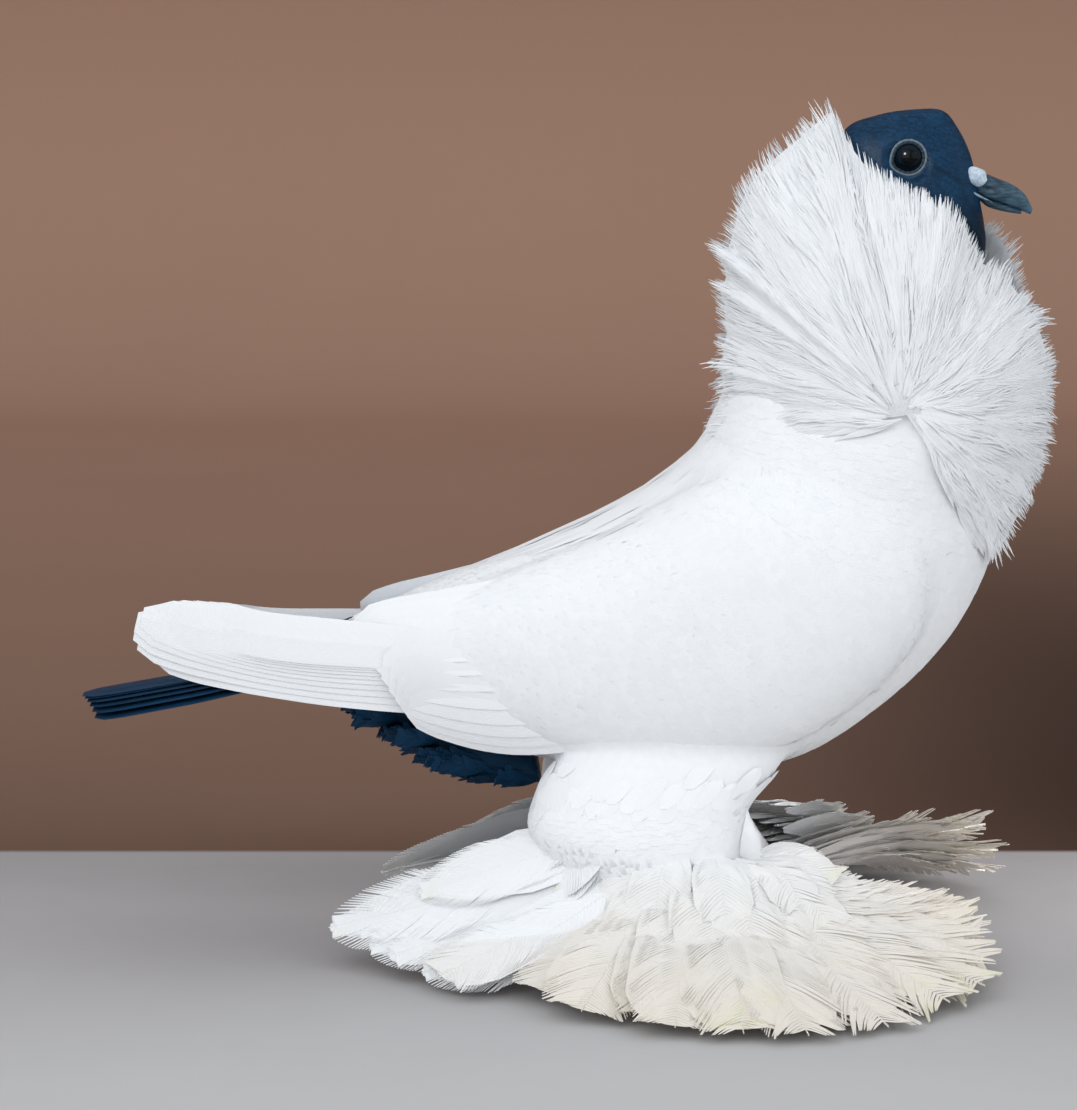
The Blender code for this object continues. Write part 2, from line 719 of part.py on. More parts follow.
def centre_on_floor(nodes):
    """Moves the whole bird so that the middle of its box stands on the origin, with its toes on the floor."""
    bpy.context.view_layer.update()
    points = np.concatenate([[made.matrix_world @ v.co for v in made.data.vertices] for made in nodes])
    low, high = points.min(0), points.max(0)
    shift = (low + high) / 2 * (1, 1, 0) + low * (0, 0, 1)
    for made in nodes:
        for v in made.data.vertices:
            v.co -= type(v.co)(shift)
    print("moved by", [round(float(-s), 6) for s in shift])


def main():
    clear_scene()
    white, cream = finish("white_feather", WHITE, 0.8), finish("cream_feather", CREAM, 0.85)
    dark, horn = finish("moor_feather", MOOR, 0.6), finish("horn", HORN, 0.45)
    wattle, glossy = finish("cere_skin", CERE, 0.7), finish("eye_gloss", EYE, 0.1)
    skin = finish("toe_skin", SKIN, 0.6)
    nodes = []

    def keep(made, material):
        nodes.append(dress(made, material))
        return made

    near_torso, near_head = torso("near_torso", SEAM), head_form("near_head", SEAM)
    shields = {side: shield(side, "near_shield", SEAM) for side in (-1, 1)}
    keep(torso(), white)
    keep(head(), dark)
    upper, lower, cere = bill()
    keep(upper, horn)
    keep(lower, horn)
    keep(cere, wattle)
    keep(neck([near_torso, near_head, *shields.values()]), white)
    keep(tail([near_torso]), dark)
    keep(undertail([near_torso]), dark)
    for side, word, stride in ((-1, "right", 0.0), (1, "left", STRIDE)):
        keep(eye(side, name="eye_" + word), glossy)
        keep(wing(side, "wing_" + word, [near_torso]), white)
        keep(leg(side, "leg_" + word, stride, [near_torso, shields[side]]), white)
        toes = foot(side, "near_foot", stride, SEAM)
        keep(muff(side, "muff_" + word, stride, [toes]), cream)
        bpy.data.objects.remove(toes)
        keep(foot(side, "foot_" + word, stride), skin)
    for helper in (near_torso, near_head, *shields.values()):
        bpy.data.objects.remove(helper)
    centre_on_floor(nodes)
    bird = bpy.data.collections.new("moorhead_pigeon")
    bpy.context.scene.collection.children.link(bird)
    for made in nodes:
        for old in list(made.users_collection):
            old.objects.unlink(made)
        bird.objects.link(made)


main()
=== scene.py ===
"""The looks of a standing Schmalkalden moorhead pigeon: skin, plumage, head, feet and a plain studio.

The file is laid out as an add-on. Its operators each make one piece, or one group of like pieces, on the
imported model. Lengths are in metres. Shapes are worked out in the bird's design frame, whose X runs the way
the bird faces and whose Y is its left side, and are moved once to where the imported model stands.
"""

import math

import bpy
import numpy as np
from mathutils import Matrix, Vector


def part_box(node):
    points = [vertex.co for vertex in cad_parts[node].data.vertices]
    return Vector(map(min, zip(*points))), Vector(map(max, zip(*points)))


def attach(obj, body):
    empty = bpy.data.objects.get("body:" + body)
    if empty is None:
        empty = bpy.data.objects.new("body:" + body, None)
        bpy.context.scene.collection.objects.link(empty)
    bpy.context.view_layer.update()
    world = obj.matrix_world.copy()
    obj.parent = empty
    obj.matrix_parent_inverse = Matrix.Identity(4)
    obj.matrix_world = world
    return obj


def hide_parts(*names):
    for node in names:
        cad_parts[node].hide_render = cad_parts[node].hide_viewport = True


bl_info = {
    "name": "Moorhead Pigeon Looks",
    "version": (1, 0, 0),
    "blender": (4, 5, 0),
    "location": "View3D > Sidebar > Pigeon",
    "description": "Plumage, head, feet and studio for the packed pigeon model",
    "category": "Object",
}

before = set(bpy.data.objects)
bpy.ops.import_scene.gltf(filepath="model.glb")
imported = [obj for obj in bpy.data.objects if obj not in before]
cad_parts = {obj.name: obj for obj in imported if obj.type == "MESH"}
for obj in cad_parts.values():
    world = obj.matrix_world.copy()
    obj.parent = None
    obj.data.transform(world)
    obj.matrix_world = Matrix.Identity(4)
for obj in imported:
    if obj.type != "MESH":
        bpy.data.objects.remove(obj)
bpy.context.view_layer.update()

EYE_PLACE = (0.1014, 0.2357)
EYE_DEPTH = 0.0092
EYE_RADIUS = 0.0047
EYE_BARE = 0.0052  # no feather grows closer to the eye's middle
EYE_LOW, EYE_HIGH = (np.array(corner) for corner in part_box("eye_right"))
SHIFT = (EYE_LOW + EYE_HIGH) / 2 - np.array([EYE_PLACE[0], -EYE_DEPTH, EYE_PLACE[1]])

# Sections of the body: back point (x, z), front or belly point (x, z), half width, from the rump forwards.
TORSO = (
    (-0.066, 0.097, -0.060, 0.080, 0.015),
    (-0.052, 0.103, -0.044, 0.070, 0.022),
    (-0.034, 0.111, -0.022, 0.061, 0.029),
    (-0.014, 0.119, 0.006, 0.054, 0.035),
    (0.008, 0.128, 0.040, 0.051, 0.040),
    (0.024, 0.137, 0.072, 0.057, 0.043),
    (0.035, 0.145, 0.097, 0.073, 0.044),
    (0.040, 0.150, 0.115, 0.091, 0.043),
    (0.043, 0.154, 0.126, 0.110, 0.041),
    (0.044, 0.157, 0.131, 0.128, 0.039),
)
NECK = (
    (0.044, 0.157, 0.131, 0.128, 0.039),
    (0.049, 0.167, 0.134, 0.145, 0.036),
    (0.058, 0.180, 0.134, 0.163, 0.031),
    (0.067, 0.197, 0.132, 0.181, 0.025),
    (0.075, 0.214, 0.130, 0.196, 0.019),
    (0.0812, 0.2312, 0.1252, 0.2052, 0.0145),
)
BODY = TORSO + NECK[1:]
HEAD = (
    (0.0815, 0.2317, 0.1254, 0.2057, 0.0145),
    (0.0838, 0.2436, 0.1257, 0.2077, 0.0145),
    (0.0935, 0.2480, 0.1257, 0.2097, 0.0138),
    (0.1042, 0.2496, 0.1257, 0.2117, 0.0106),
    (0.1125, 0.2492, 0.1254, 0.2142, 0.0062),
    (0.1172, 0.2438, 0.1250, 0.2170, 0.0040),
    (0.1204, 0.2374, 0.1244, 0.2192, 0.0034),
    (0.1219, 0.2322, 0.1236, 0.2214, 0.0025),
)
UPPER_BILL = (
    (0.1180, 0.2306, 0.1206, 0.2262, 0.0036),
    (0.1203, 0.2313, 0.1226, 0.2252, 0.0037),
    (0.1247, 0.2310, 0.1252, 0.2234, 0.0035),
    (0.1292, 0.2293, 0.1287, 0.2222, 0.0030),
    (0.1337, 0.2274, 0.1327, 0.2210, 0.0024),
    (0.1373, 0.2245, 0.1361, 0.2199, 0.0017),
    (0.1395, 0.2203, 0.1388, 0.2189, 0.0007),
)
LOWER_BILL = (
    (0.1210, 0.2262, 0.1220, 0.2232, 0.0031),
    (0.1230, 0.2254, 0.1240, 0.2227, 0.0031),
    (0.1258, 0.2237, 0.1261, 0.2211, 0.0028),
    (0.1292, 0.2224, 0.1291, 0.2201, 0.0023),
    (0.1328, 0.2211, 0.1326, 0.2194, 0.0017),
    (0.1362, 0.2199, 0.1360, 0.2189, 0.0008),
)
CERE_PLACE = (0.1220, 0.2300)
CERE_HALF = (0.0035, 0.0029, 0.0028)
CERE_SPREAD = 0.0036
BILL_SLOPE = math.radians(20)
NOSTRIL = (0.1258, 0.0034, 0.2264)

# The mane's fan: degrees from straight ahead and upwards, reach from the rosette, distance from the middle.
ROSETTE = (0.099, 0.163)
ROSETTE_BULGE = 0.040
MANE_RIM = (
    (-57, 0.0540, 0.018),
    (-30, 0.0500, 0.005),
    (0, 0.0485, 0.001),
    (30, 0.0515, 0.001),
    (50, 0.0525, 0.004),
    (62, 0.0520, 0.013),
    (72, 0.0595, 0.020),
    (79, 0.0635, 0.024),
    (87, 0.0652, 0.024),
    (94, 0.0694, 0.021),
    (98, 0.0750, 0.015),
    (101, 0.0830, 0.007),
    (103, 0.0930, 0.003),
    (110, 0.0880, 0.002),
    (124, 0.0820, 0.002),
    (132, 0.0750, 0.003),
    (143, 0.0660, 0.003),
    (157, 0.0570, 0.004),
    (178, 0.0530, 0.006),
    (189, 0.0570, 0.010),
)
MANE_CROWN = 2.4
# Tufts that stand out of the mane's edge: angle, extra reach, half the angle they take.
STRAY_TUFTS = ((139.5, 0.0045, 1.7), (146.5, 0.0025, 1.6), (103.0, 0.0015, 1.2), (168.0, 0.0018, 1.5))

# The folded wing: station on the torso, angle of its upper and lower edge round the body, thickness.
WING_SHIELD = (
    (0.30, 44, 116, 0.0004),
    (1.25, 40, 118, 0.0022),
    (2.00, 33, 127, 0.0040),
    (3.00, 29, 132, 0.0058),
    (4.00, 27, 136, 0.0070),
    (5.00, 27, 139, 0.0076),
    (6.00, 30, 140, 0.0072),
    (7.00, 38, 136, 0.0056),
    (7.90, 58, 122, 0.0026),
    (8.60, 70, 112, 0.0004),
)
PRIMARY_TIPS = (
    (-0.1205, 0.0895),
    (-0.1250, 0.0925),
    (-0.1264, 0.0952),
    (-0.1264, 0.0978),
    (-0.1250, 0.0998),
    (-0.1215, 0.1008),
    (-0.1150, 0.1008),
    (-0.1050, 0.1000),
)
LEFT_TIP_DROP = 0.0050  # how much lower the far wing's tip lies
STRIDE = 0.012  # how far the left foot stands ahead
# The feathered leg: height, centre (x, distance from the middle plane), half length, half width.
LEG = (
    (0.086, 0.0400, 0.0180, 0.0180, 0.0120),
    (0.075, 0.0385, 0.0190, 0.0265, 0.0160),
    (0.066, 0.0368, 0.0215, 0.0318, 0.0165),
    (0.057, 0.0303, 0.0260, 0.0346, 0.0170),
    (0.048, 0.0240, 0.0290, 0.0325, 0.0182),
    (0.040, 0.0220, 0.0310, 0.0315, 0.0190),
    (0.031, 0.0250, 0.0320, 0.0280, 0.0175),
    (0.021, 0.0340, 0.0335, 0.0235, 0.0150),
    (0.012, 0.0430, 0.0345, 0.0195, 0.0120),
    (0.0072, 0.0470, 0.0350, 0.0170, 0.0100),
)
# The fan of foot feathers from behind to the front: root (x, out, z) and tip (x, out, z).
MUFF_FAN = (
    (0.006, 0.031, 0.0300, -0.067, 0.034, 0.0115),
    (0.008, 0.037, 0.0280, -0.062, 0.045, 0.0085),
    (0.016, 0.041, 0.0240, -0.037, 0.070, 0.0040),
    (0.027, 0.043, 0.0200, -0.002, 0.098, 0.0030),
    (0.038, 0.043, 0.0165, 0.033, 0.120, 0.0026),
    (0.048, 0.042, 0.0140, 0.068, 0.125, 0.0026),
    (0.056, 0.040, 0.0125, 0.099, 0.107, 0.0028),
    (0.060, 0.037, 0.0120, 0.122, 0.079, 0.0042),
    (0.061, 0.033, 0.0120, 0.131, 0.052, 0.0065),
    (0.060, 0.029, 0.0125, 0.124, 0.030, 0.0085),
)
FOOT_PLACE = (0.049, 0.035)
# Angle outwards from straight ahead in degrees, length of a toe.
TOES = ((-22, 0.022), (6, 0.029), (36, 0.024), (176, 0.016))
TOE_RADIUS = 0.0031

# The camera stands where the photograph was taken from, at the bird's right side.
CAMERA_PLACE = (-0.0065, -1.0, 0.255)
CAMERA_AIM = (-0.0065, 0.0, 0.117)
CAMERA_LENS = 109.1

SIDES = ((-1, "right"), (1, "left"))
PATCH = 0.003  # how wide a tuft's place is on the map that is baked
JITTER = 0.25  # how far a root strays from its even place, as a share of the distance between roots
HEAD_TILT = 0.592  # slope of the line where the dark head ends
HEAD_TOP_LINE = 0.2317 + HEAD_TILT * 0.0815
EYE_CLEAR = (0.0048, 0.0078)  # the head is drawn in fully within the first distance, not at all past the last
COLLAR = (58, 11, 0.0100)  # the left collar's place and half angle, and how much further it reaches

# The crease before the eye, darkened with painted shade: its middle (x, z) and the cosine and sine of its
# slope. The bib's painted shade: the levels between which it fades.
CREASE_SHADE = (0.1130, 0.2308, 0.894, 0.447)
BIB_SHADE_LEVELS = (0.2130, 0.2270)

# The body's feathers leave out the wing: its share from the middle line to its edge, and its rows. The dark
# rump ends at a row. They also leave out the thigh: its top and how ragged that is, its distance from the
# middle plane, and its ends.
WING_EDGE, WING_ROWS, RUMP_ROW = 0.93, (0.9, 8.3), 0.75
THIGH_TOP, THIGH_RAGGED, THIGH_OUT, THIGH_ENDS = 0.070, 0.003, 0.012, (-0.006, 0.070)
# The belt round the thighs where the skin is smoothed: axis, ends, and how soft each end is.
THIGH_BELT = ((2, 0.043, 0.082, 0.009, 0.010), (0, -0.034, 0.084, 0.012, 0.012))
# Sections inside the feathers over the tail's root, and inside those under it.
TAIL_CORE = (
    (-0.0930, 0.0860, -0.0920, 0.0775, 0.0100),
    (-0.0780, 0.0935, -0.0745, 0.0780, 0.0130),
    (-0.0664, 0.0968, -0.0604, 0.0802, 0.0146),
)
UNDERTAIL_CORE = (
    (-0.0600, 0.0860, -0.0585, 0.0715, 0.012),
    (-0.0440, 0.0780, -0.0420, 0.0625, 0.016),
    (-0.0260, 0.0680, -0.0240, 0.0515, 0.017),
    (-0.0080, 0.0600, -0.0055, 0.0475, 0.015),
)
MANE_PARTING = 84.0  # the mesh of each side is split at this angle
MANE_LOCK = 6.08  # degrees that one lock takes
MANE_DROOP = ((-57, -30, 10, 40, 70, 140, 160, 189), (-6, -12, -10, -3, 0, 0, 7, 9))
SWIRL = (38.0, 0.10)  # degrees that the feathers turn round the rosette, and the share where that fades
RIDGE_ENDS = (105.0, 187.0)  # where the down in the parting starts and ends
MANE_ENDS = (MANE_RIM[0][0], MANE_RIM[-1][0])
FAR_SHARE = 0.76  # share of the feathers that the hidden left side of the mane gets
LOCKS = {-1: 2100, 1: 1500}  # locks on each side
COLLAR_FEATHERS = 400  # more feathers of the left side, whose inner face shows behind the bill

# Share of the fan's full length, lift, number of feathers, width, share of the full number of barbs.
MUFF_TIERS = (
    (1.00, 0.0000, 15, 0.0300, 1.10),
    (0.90, 0.0024, 15, 0.0290, 1.10),
    (0.76, 0.0050, 14, 0.0270, 0.95),
    (0.58, 0.0090, 13, 0.0240, 0.80),
    (0.42, 0.0140, 12, 0.0210, 0.65),
    (0.28, 0.0200, 11, 0.0180, 0.50),
)
# The long vanes over the hock, each by root, middle and tip (x, out, z) and width; the first lies on top.
HEEL_VANES = (
    (0.014, 0.036, 0.0345, -0.028, 0.0410, 0.0225, -0.0680, 0.0355, 0.0115, 0.0310),
    (0.014, 0.044, 0.0300, -0.022, 0.0500, 0.0155, -0.0560, 0.0450, 0.0085, 0.0270),
    (0.020, 0.046, 0.0290, -0.010, 0.0600, 0.0130, -0.0400, 0.0620, 0.0050, 0.0250),
    (0.016, 0.034, 0.0380, -0.012, 0.0380, 0.0320, -0.0420, 0.0370, 0.0225, 0.0240),
)
# Places along the fan where it is parted: place, how much shorter the feathers are there, half width.
MUFF_GAPS = ((0.29, 0.16, 0.035), (0.60, 0.10, 0.03), (0.83, 0.13, 0.03))

# Rings of a blade's cross-section: across and rise of each point.
STRAND = ((-1.0, 0.0), (1.0, 0.0), (0.0, 1.0))
LEAF = ((-1.0, 0.0), (0.0, -0.6), (1.0, 0.0), (0.55, 0.9), (-0.55, 0.9))
BLADE = ((-1.0, 0.0), (0.0, -0.6), (1.0, 0.0), (0.0, 0.9))
VANE = (
    (-1.0, 0.0), (0.0, -1.0), (1.0, 0.0), (0.9, 0.75), (0.45, 0.95), (0.05, 1.0), (0.0, 1.5), (-0.05, 1.0),
    (-0.45, 0.95), (-0.9, 0.75),
)
# Half widths of small feathers at even stations, from the root to the tip.
BODY_SHAPE = (0.4, 0.92, 1.0, 0.88, 0.4)
HEAD_SHAPE = (0.6, 1.0, 0.9, 0.4)
LOCK_SHAPE = (0.45, 0.9, 1.0, 0.8, 0.5, 0.08)
# Half widths of large feathers: shares of the length, then shares of the width. Each pair has a full vane
# and a slim one, between which a feather's lean chooses.
FLIGHT_SHAPE = ((0.0, 0.15, 0.55, 0.88, 0.96, 1.0), (0.35, 0.8, 1.0, 0.97, 0.82, 0.42))
BARB_SHAPES = (
    ((0.1, 0.25, 0.55, 0.82, 0.93, 1.0), (0.45, 0.75, 0.95, 1.0, 0.66, 0.12)),
    ((0.1, 0.25, 0.5, 0.75, 0.9, 1.0), (0.45, 0.85, 1.0, 0.60, 0.30, 0.08)),
)
WEB_SHAPES = (
    ((0, 0.1, 0.25, 0.55, 0.84, 0.93, 0.97, 1.0), (0.2, 0.45, 0.75, 0.95, 0.98, 0.8, 0.6, 0.2)),
    ((0, 0.1, 0.25, 0.5, 0.75, 0.9, 0.97, 1.0), (0.2, 0.5, 0.85, 1.0, 0.64, 0.34, 0.20, 0.08)),
)


def unit(v):
    """Each vector of an array divided by its own length."""
    return v / np.maximum(np.linalg.norm(v, axis=-1, keepdims=True), 1e-12)


def through(rows, places):
    """Rows on the Catmull-Rom curve through the given rows, at places counted in rows from 0."""
    rows = np.asarray(rows, float)
    padded = np.vstack([2 * rows[0] - rows[1], rows, 2 * rows[-1] - rows[-2]])
    places = np.asarray(places, float)
    first = np.clip(np.floor(places).astype(int), 0, len(rows) - 2)
    f = (places - first)[..., None]
    a, b, c, d = (padded[first + k] for k in range(4))
    return 0.5 * (
        2 * b + (c - a) * f + (2 * a - 5 * b + 4 * c - d) * f**2 + (3 * b - a - 3 * c + d) * f**3
    )


def rounded(rows, place, angle, lift=0.0, power=2.15):
    """Points of a body: the section at a place, a superellipse whose angle 0 is on the back, lifted outwards.

    The point is the section's middle, plus cos^(2/power) of the half way to the back, plus sin^(2/power)
    of the half width across.
    """
    row = through(rows, place)
    flat = np.zeros_like(row[..., 0])
    top = np.stack([row[..., 0], flat, row[..., 1]], -1)
    bottom = np.stack([row[..., 2], flat, row[..., 3]], -1)
    half = (top - bottom) / 2
    depth = np.linalg.norm(half, axis=-1)
    c, s = np.cos(angle), np.sin(angle)
    u = np.sign(c) * np.abs(c) ** (2 / power)
    v = np.sign(s) * np.abs(s) ** (2 / power)
    made = (top + bottom) / 2 + (u * (1 + lift / depth))[..., None] * half
    made[..., 1] += v * (row[..., 4] + lift)
    return made


def wing_bulge(place, angle):
    """Height of the folded wing over the torso: its thickness times sqrt(1 - share^3), share being the
    way from the wing's middle line to its edge."""
    rows = np.array(WING_SHIELD)
    low, high, thick = (np.interp(place, rows[:, 0], rows[:, k]) for k in (1, 2, 3))
    share = (np.degrees(np.abs(angle)) - (low + high) / 2) / ((high - low) / 2)
    thick = np.where((place < rows[0, 0]) | (place > rows[-1, 0]), 0.0, thick)
    return thick * np.sqrt(np.clip(1 - np.abs(share) ** 3, 0, 1)), np.abs(share)


def body_surface(place, angle, lift=0.0):
    """The outside of torso, folded wings and neck. The angle runs from -pi to pi, positive on the left."""
    turned = (angle + np.pi) % (2 * np.pi) - np.pi
    return swollen(rounded(BODY, place, turned, wing_bulge(place, turned)[0] + lift))


def head_surface(place, angle, lift=0.0):
    """The feathered head, drawn in round each eye so that ball and ring stand free."""
    points = rounded(HEAD, place, angle, lift, 2.3)
    away = np.hypot(points[..., 0] - EYE_PLACE[0], points[..., 2] - EYE_PLACE[1])
    level = np.minimum(np.abs(points[..., 1]), EYE_DEPTH + 0.0022 + lift)
    pull = np.clip((EYE_CLEAR[1] - away) / (EYE_CLEAR[1] - EYE_CLEAR[0]), 0, 1)
    pull = pull * pull * (3 - 2 * pull)
    points[..., 1] += pull * (np.sign(points[..., 1]) * level - points[..., 1])
    return points


def leg_surface(side):
    """The feathered leg of one side as level ovals; place counts the rows downwards."""

    def surface(place, angle, lift=0.0):
        row = through(LEG, place)
        ahead = (side > 0) * STRIDE * np.clip((LEG[2][0] - row[..., 0]) / LEG[2][0], 0, 1)
        return np.stack(
            [
                row[..., 1] + ahead + (row[..., 3] + lift) * np.cos(angle),
                side * (row[..., 2] + (row[..., 4] + lift) * np.sin(angle)),
                row[..., 0] + 0 * angle,
            ],
            -1,
        )

    return surface


def rim_at(angle):
    """Reach of the mane's rim, and its distance from the middle plane, at an angle in degrees."""
    rim = np.array(MANE_RIM)
    return [np.interp(angle, rim[:, 0], rim[:, k]) for k in (1, 2)]


def mane_surface(side):
    """One side of the mane: the ray from the rosette at an angle in degrees, out to a share of the reach.

    Its distance from the middle plane falls from the rosette's bulge to the rim's with share^2.4. On the
    left side the collar reaches further in front of the cheek, as the photograph shows behind the bill.
    """

    def surface(angle, share, lift=0.0):
        reach, out = rim_at(angle)
        for middle, extra, spread in STRAY_TUFTS:
            reach = reach + extra * np.exp(-(((angle - middle) / spread) ** 2))
        if side > 0:
            reach = reach + COLLAR[2] * np.exp(-(((angle - COLLAR[0]) / COLLAR[1]) ** 2))
        turn = np.radians(angle)
        y = out + (ROSETTE_BULGE - out) * (1 - np.clip(share, 0, 1) ** MANE_CROWN)
        return np.stack(
            [
                ROSETTE[0] + share * reach * np.cos(turn),
                side * (y + lift),
                ROSETTE[1] + share * reach * np.sin(turn),
            ],
            -1,
        )

    return surface


def outward(surface, u, v, lift, turn=1.0):
    """The unit normal of a surface, the cross product of its two tangents."""
    step = 1e-3
    along_u = surface(u + step, v, lift) - surface(u - step, v, lift)
    along_v = surface(u, v + step, lift) - surface(u, v - step, lift)
    return turn * unit(np.cross(along_u, along_v))


def row_places(surface, rows, low, high, pitch, random):
    """Root places in staggered rows on a surface: each row's length, divided by the pitch, is its count."""
    places = []
    v = np.linspace(low, high, 90)
    for k, u in enumerate(rows):
        length = np.linalg.norm(np.diff(surface(np.full(90, u), v), axis=0), axis=1)
        run = np.concatenate([[0], np.cumsum(length)])
        count = max(int(run[-1] / pitch), 1)
        spots = (np.arange(count) + 0.25 + 0.5 * (k % 2) + random.uniform(-JITTER, JITTER, count)) / count
        v_here = np.interp(spots * run[-1], run, v)
        shift = random.uniform(-JITTER, JITTER, count) * abs(rows[1] - rows[0])
        places.append(np.stack([u + shift, v_here], -1))
    return np.concatenate(places)


def turns(places, count):
    """Grids of places and of angles round a closed ring, for all rings of a tube."""
    return np.meshgrid(places, np.linspace(0, 2 * np.pi, count, endpoint=False), indexing="ij")


def frames(path, face):
    """Side and up of each station of each path: side is face x along, up is along x side."""
    along = unit(np.gradient(path, axis=1))
    side = unit(np.cross(face, along))
    return side, np.cross(along, side)


def blades(path, face, half, high, profile, sag=0.0):
    """Closed blades along paths (n, stations, 3).

    Each station carries a ring of the profile's points (across, rise), at half * across along the side and
    high * rise along the normal, less sag * (half * across)^2, which bends a wide blade round the body.
    """
    side, up = frames(path, face)
    profile = np.array(profile)
    reach = np.broadcast_to(half, path.shape[:2])[..., None] * profile[:, 0]
    rise = np.broadcast_to(high, path.shape[:2])[..., None] * profile[:, 1] - sag * reach**2
    points = path[:, :, None] + reach[..., None] * side[:, :, None] + rise[..., None] * up[:, :, None]
    return points, loops_of(points)


def patches(places, points, profile):
    """The baked map of tufts: each is a patch at its root's place, along by across."""
    count, stations, ring = points.shape[:3]
    along = np.linspace(-0.5, 0.5, stations)[None, :, None]
    across = np.array(profile)[:, 0][None, None, :] * 0.5
    shape = (count, stations, ring)
    u = places[:, 0][:, None, None] + PATCH * np.broadcast_to(across, shape)
    v = places[:, 1][:, None, None] + PATCH * np.broadcast_to(along, shape)
    return np.stack([u, v], -1)


def vane_map(points, half, length, profile):
    """A feather's own map in centimetres: how far across and how far along each point lies."""
    count, stations = points.shape[:2]
    along = np.linspace(0, 1, stations)[None, :] * np.broadcast_to(length, (count,))[:, None]
    across = np.broadcast_to(half, (count, stations))[..., None] * np.array(profile)[:, 0]
    return np.stack([across * 100, np.broadcast_to(along[..., None], across.shape) * 100], -1)


def spread_out(values, points):
    """A value for each blade, repeated for each of its points."""
    return np.broadcast_to(values[:, None, None], points.shape[:3])


def make_piece(name, points, polygons, material, replaces=(), slot=None, maps=None, marks=None, floor=None):
    """A mesh object from whole arrays: points in the design frame and polygon arrays of one width each."""
    mesh = bpy.data.meshes.new(name)
    points = np.asarray(points, float).reshape(-1, 3) + SHIFT
    if floor is not None:
        points[:, 2] = np.maximum(points[:, 2], floor)
    corners = np.concatenate([p.ravel() for p in polygons]).astype(np.int32)
    sizes = np.concatenate([np.full(len(p), p.shape[1]) for p in polygons])
    starts = np.concatenate([[0], np.cumsum(sizes)[:-1]]).astype(np.int32)
    mesh.vertices.add(len(points))
    mesh.vertices.foreach_set("co", points.astype(np.float32).ravel())
    mesh.loops.add(len(corners))
    mesh.loops.foreach_set("vertex_index", corners)
    mesh.polygons.add(len(sizes))
    mesh.polygons.foreach_set("loop_start", starts)
    mesh.update(calc_edges=True)
    mesh.shade_smooth()
    mesh.set_sharp_from_angle(angle=math.radians(85))
    for label, values in (maps or {}).items():
        layer = mesh.uv_layers.new(name=label)
        layer.uv.foreach_set("vector", values.reshape(-1, 2)[corners].astype(np.float32).ravel())
    for label, values in (marks or {}).items():
        layer = mesh.attributes.new(label, "FLOAT", "POINT")
        layer.data.foreach_set("value", np.asarray(values, np.float32).ravel())
    made = bpy.data.objects.new(name, mesh)
    bpy.context.scene.collection.objects.link(made)
    mesh.materials.append(material)
    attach(made, "root")
    if replaces:
        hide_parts(*replaces)
    return made


def closed_grid(points):
    """Polygons of a closed tube through rings (rings, count), with a polygon over each end."""
    rings, count = points.shape[:2]
    index = np.arange(rings * count).reshape(rings, count)
    beside = np.roll(index, -1, axis=1)
    quads = np.stack([index[:-1], beside[:-1], beside[1:], index[1:]], -1).reshape(-1, 4)
    return [quads, np.stack([index[0, ::-1], index[-1]])]


def flipped(polygons):
    """The same polygons, facing the other way."""
    return [p[:, ::-1] for p in polygons]


def joined(tubes):
    """Several closed tubes as one set of points and polygons."""
    polygons, total = [], 0
    for rings in tubes:
        polygons += [p + total for p in closed_grid(rings)]
        total += rings.shape[0] * rings.shape[1]
    return np.concatenate([rings.reshape(-1, 3) for rings in tubes]), polygons


def settled(made, modifiers):
    """Applies modifiers, given as (type, settings), and leaves the object with its finished mesh."""
    for kind, settings in modifiers:
        modifier = made.modifiers.new(kind.lower(), kind)
        for key, value in settings.items():
            setattr(modifier, key, value)
    graph = bpy.context.evaluated_depsgraph_get()
    result = bpy.data.meshes.new_from_object(made.evaluated_get(graph))
    made.modifiers.clear()
    made.data = result
    made.data.shade_smooth()
    return made


class Wire:
    """A socket in a shader's node tree. Sums, products and powers of wires add the Math nodes."""

    def __init__(self, tree, socket=None):
        self.tree = tree
        self.socket = socket

    def node(self, kind, settings=None, inputs=None, out=0):
        """Any node: its type, its settings, and the values or wires of its sockets."""
        made = self.tree.nodes.new(kind)
        for key, value in (settings or {}).items():
            setattr(made, key, value)
        for key, value in (inputs or {}).items():
            if isinstance(value, Wire):
                self.tree.links.new(value.socket, made.inputs[key])
            else:
                made.inputs[key].default_value = value
        return Wire(self.tree, made.outputs[out])

    def maths(self, operation, *values):
        return self.node("ShaderNodeMath", {"operation": operation}, dict(enumerate(values)))

    def __add__(self, other):
        return self.maths("ADD", self, other)

    __radd__ = __add__

    def __sub__(self, other):
        return self.maths("SUBTRACT", self, other)

    def __rsub__(self, other):
        return self.maths("SUBTRACT", other, self)

    def __mul__(self, other):
        return self.maths("MULTIPLY", self, other)

    def __pow__(self, other):
        return self.maths("POWER", self, other)

    def __abs__(self):
        return self.maths("ABSOLUTE", self)

    def most(self, other):
        return self.maths("MAXIMUM", self, other)

    def step(self, low, high):
        """0 below low, 1 above high, and a smooth rise between them."""
        settings = {"interpolation_type": "SMOOTHSTEP"}
        return self.node("ShaderNodeMapRange", settings, {"Value": self, "From Min": low, "From Max": high})

    def mix(self, first, second):
        """The first colour where this wire is 0 and the second where it is 1."""
        inputs = {0: self}
        for key, colour in ((6, first), (7, second)):
            inputs[key] = colour if isinstance(colour, Wire) else (*colour, 1.0)
        return self.node("ShaderNodeMix", {"data_type": "RGBA", "clamp_factor": True}, inputs, out=2)

    def noise(self, scale, detail=2.0):
        return self.node("ShaderNodeTexNoise", {}, {"Vector": self, "Scale": scale, "Detail": detail})


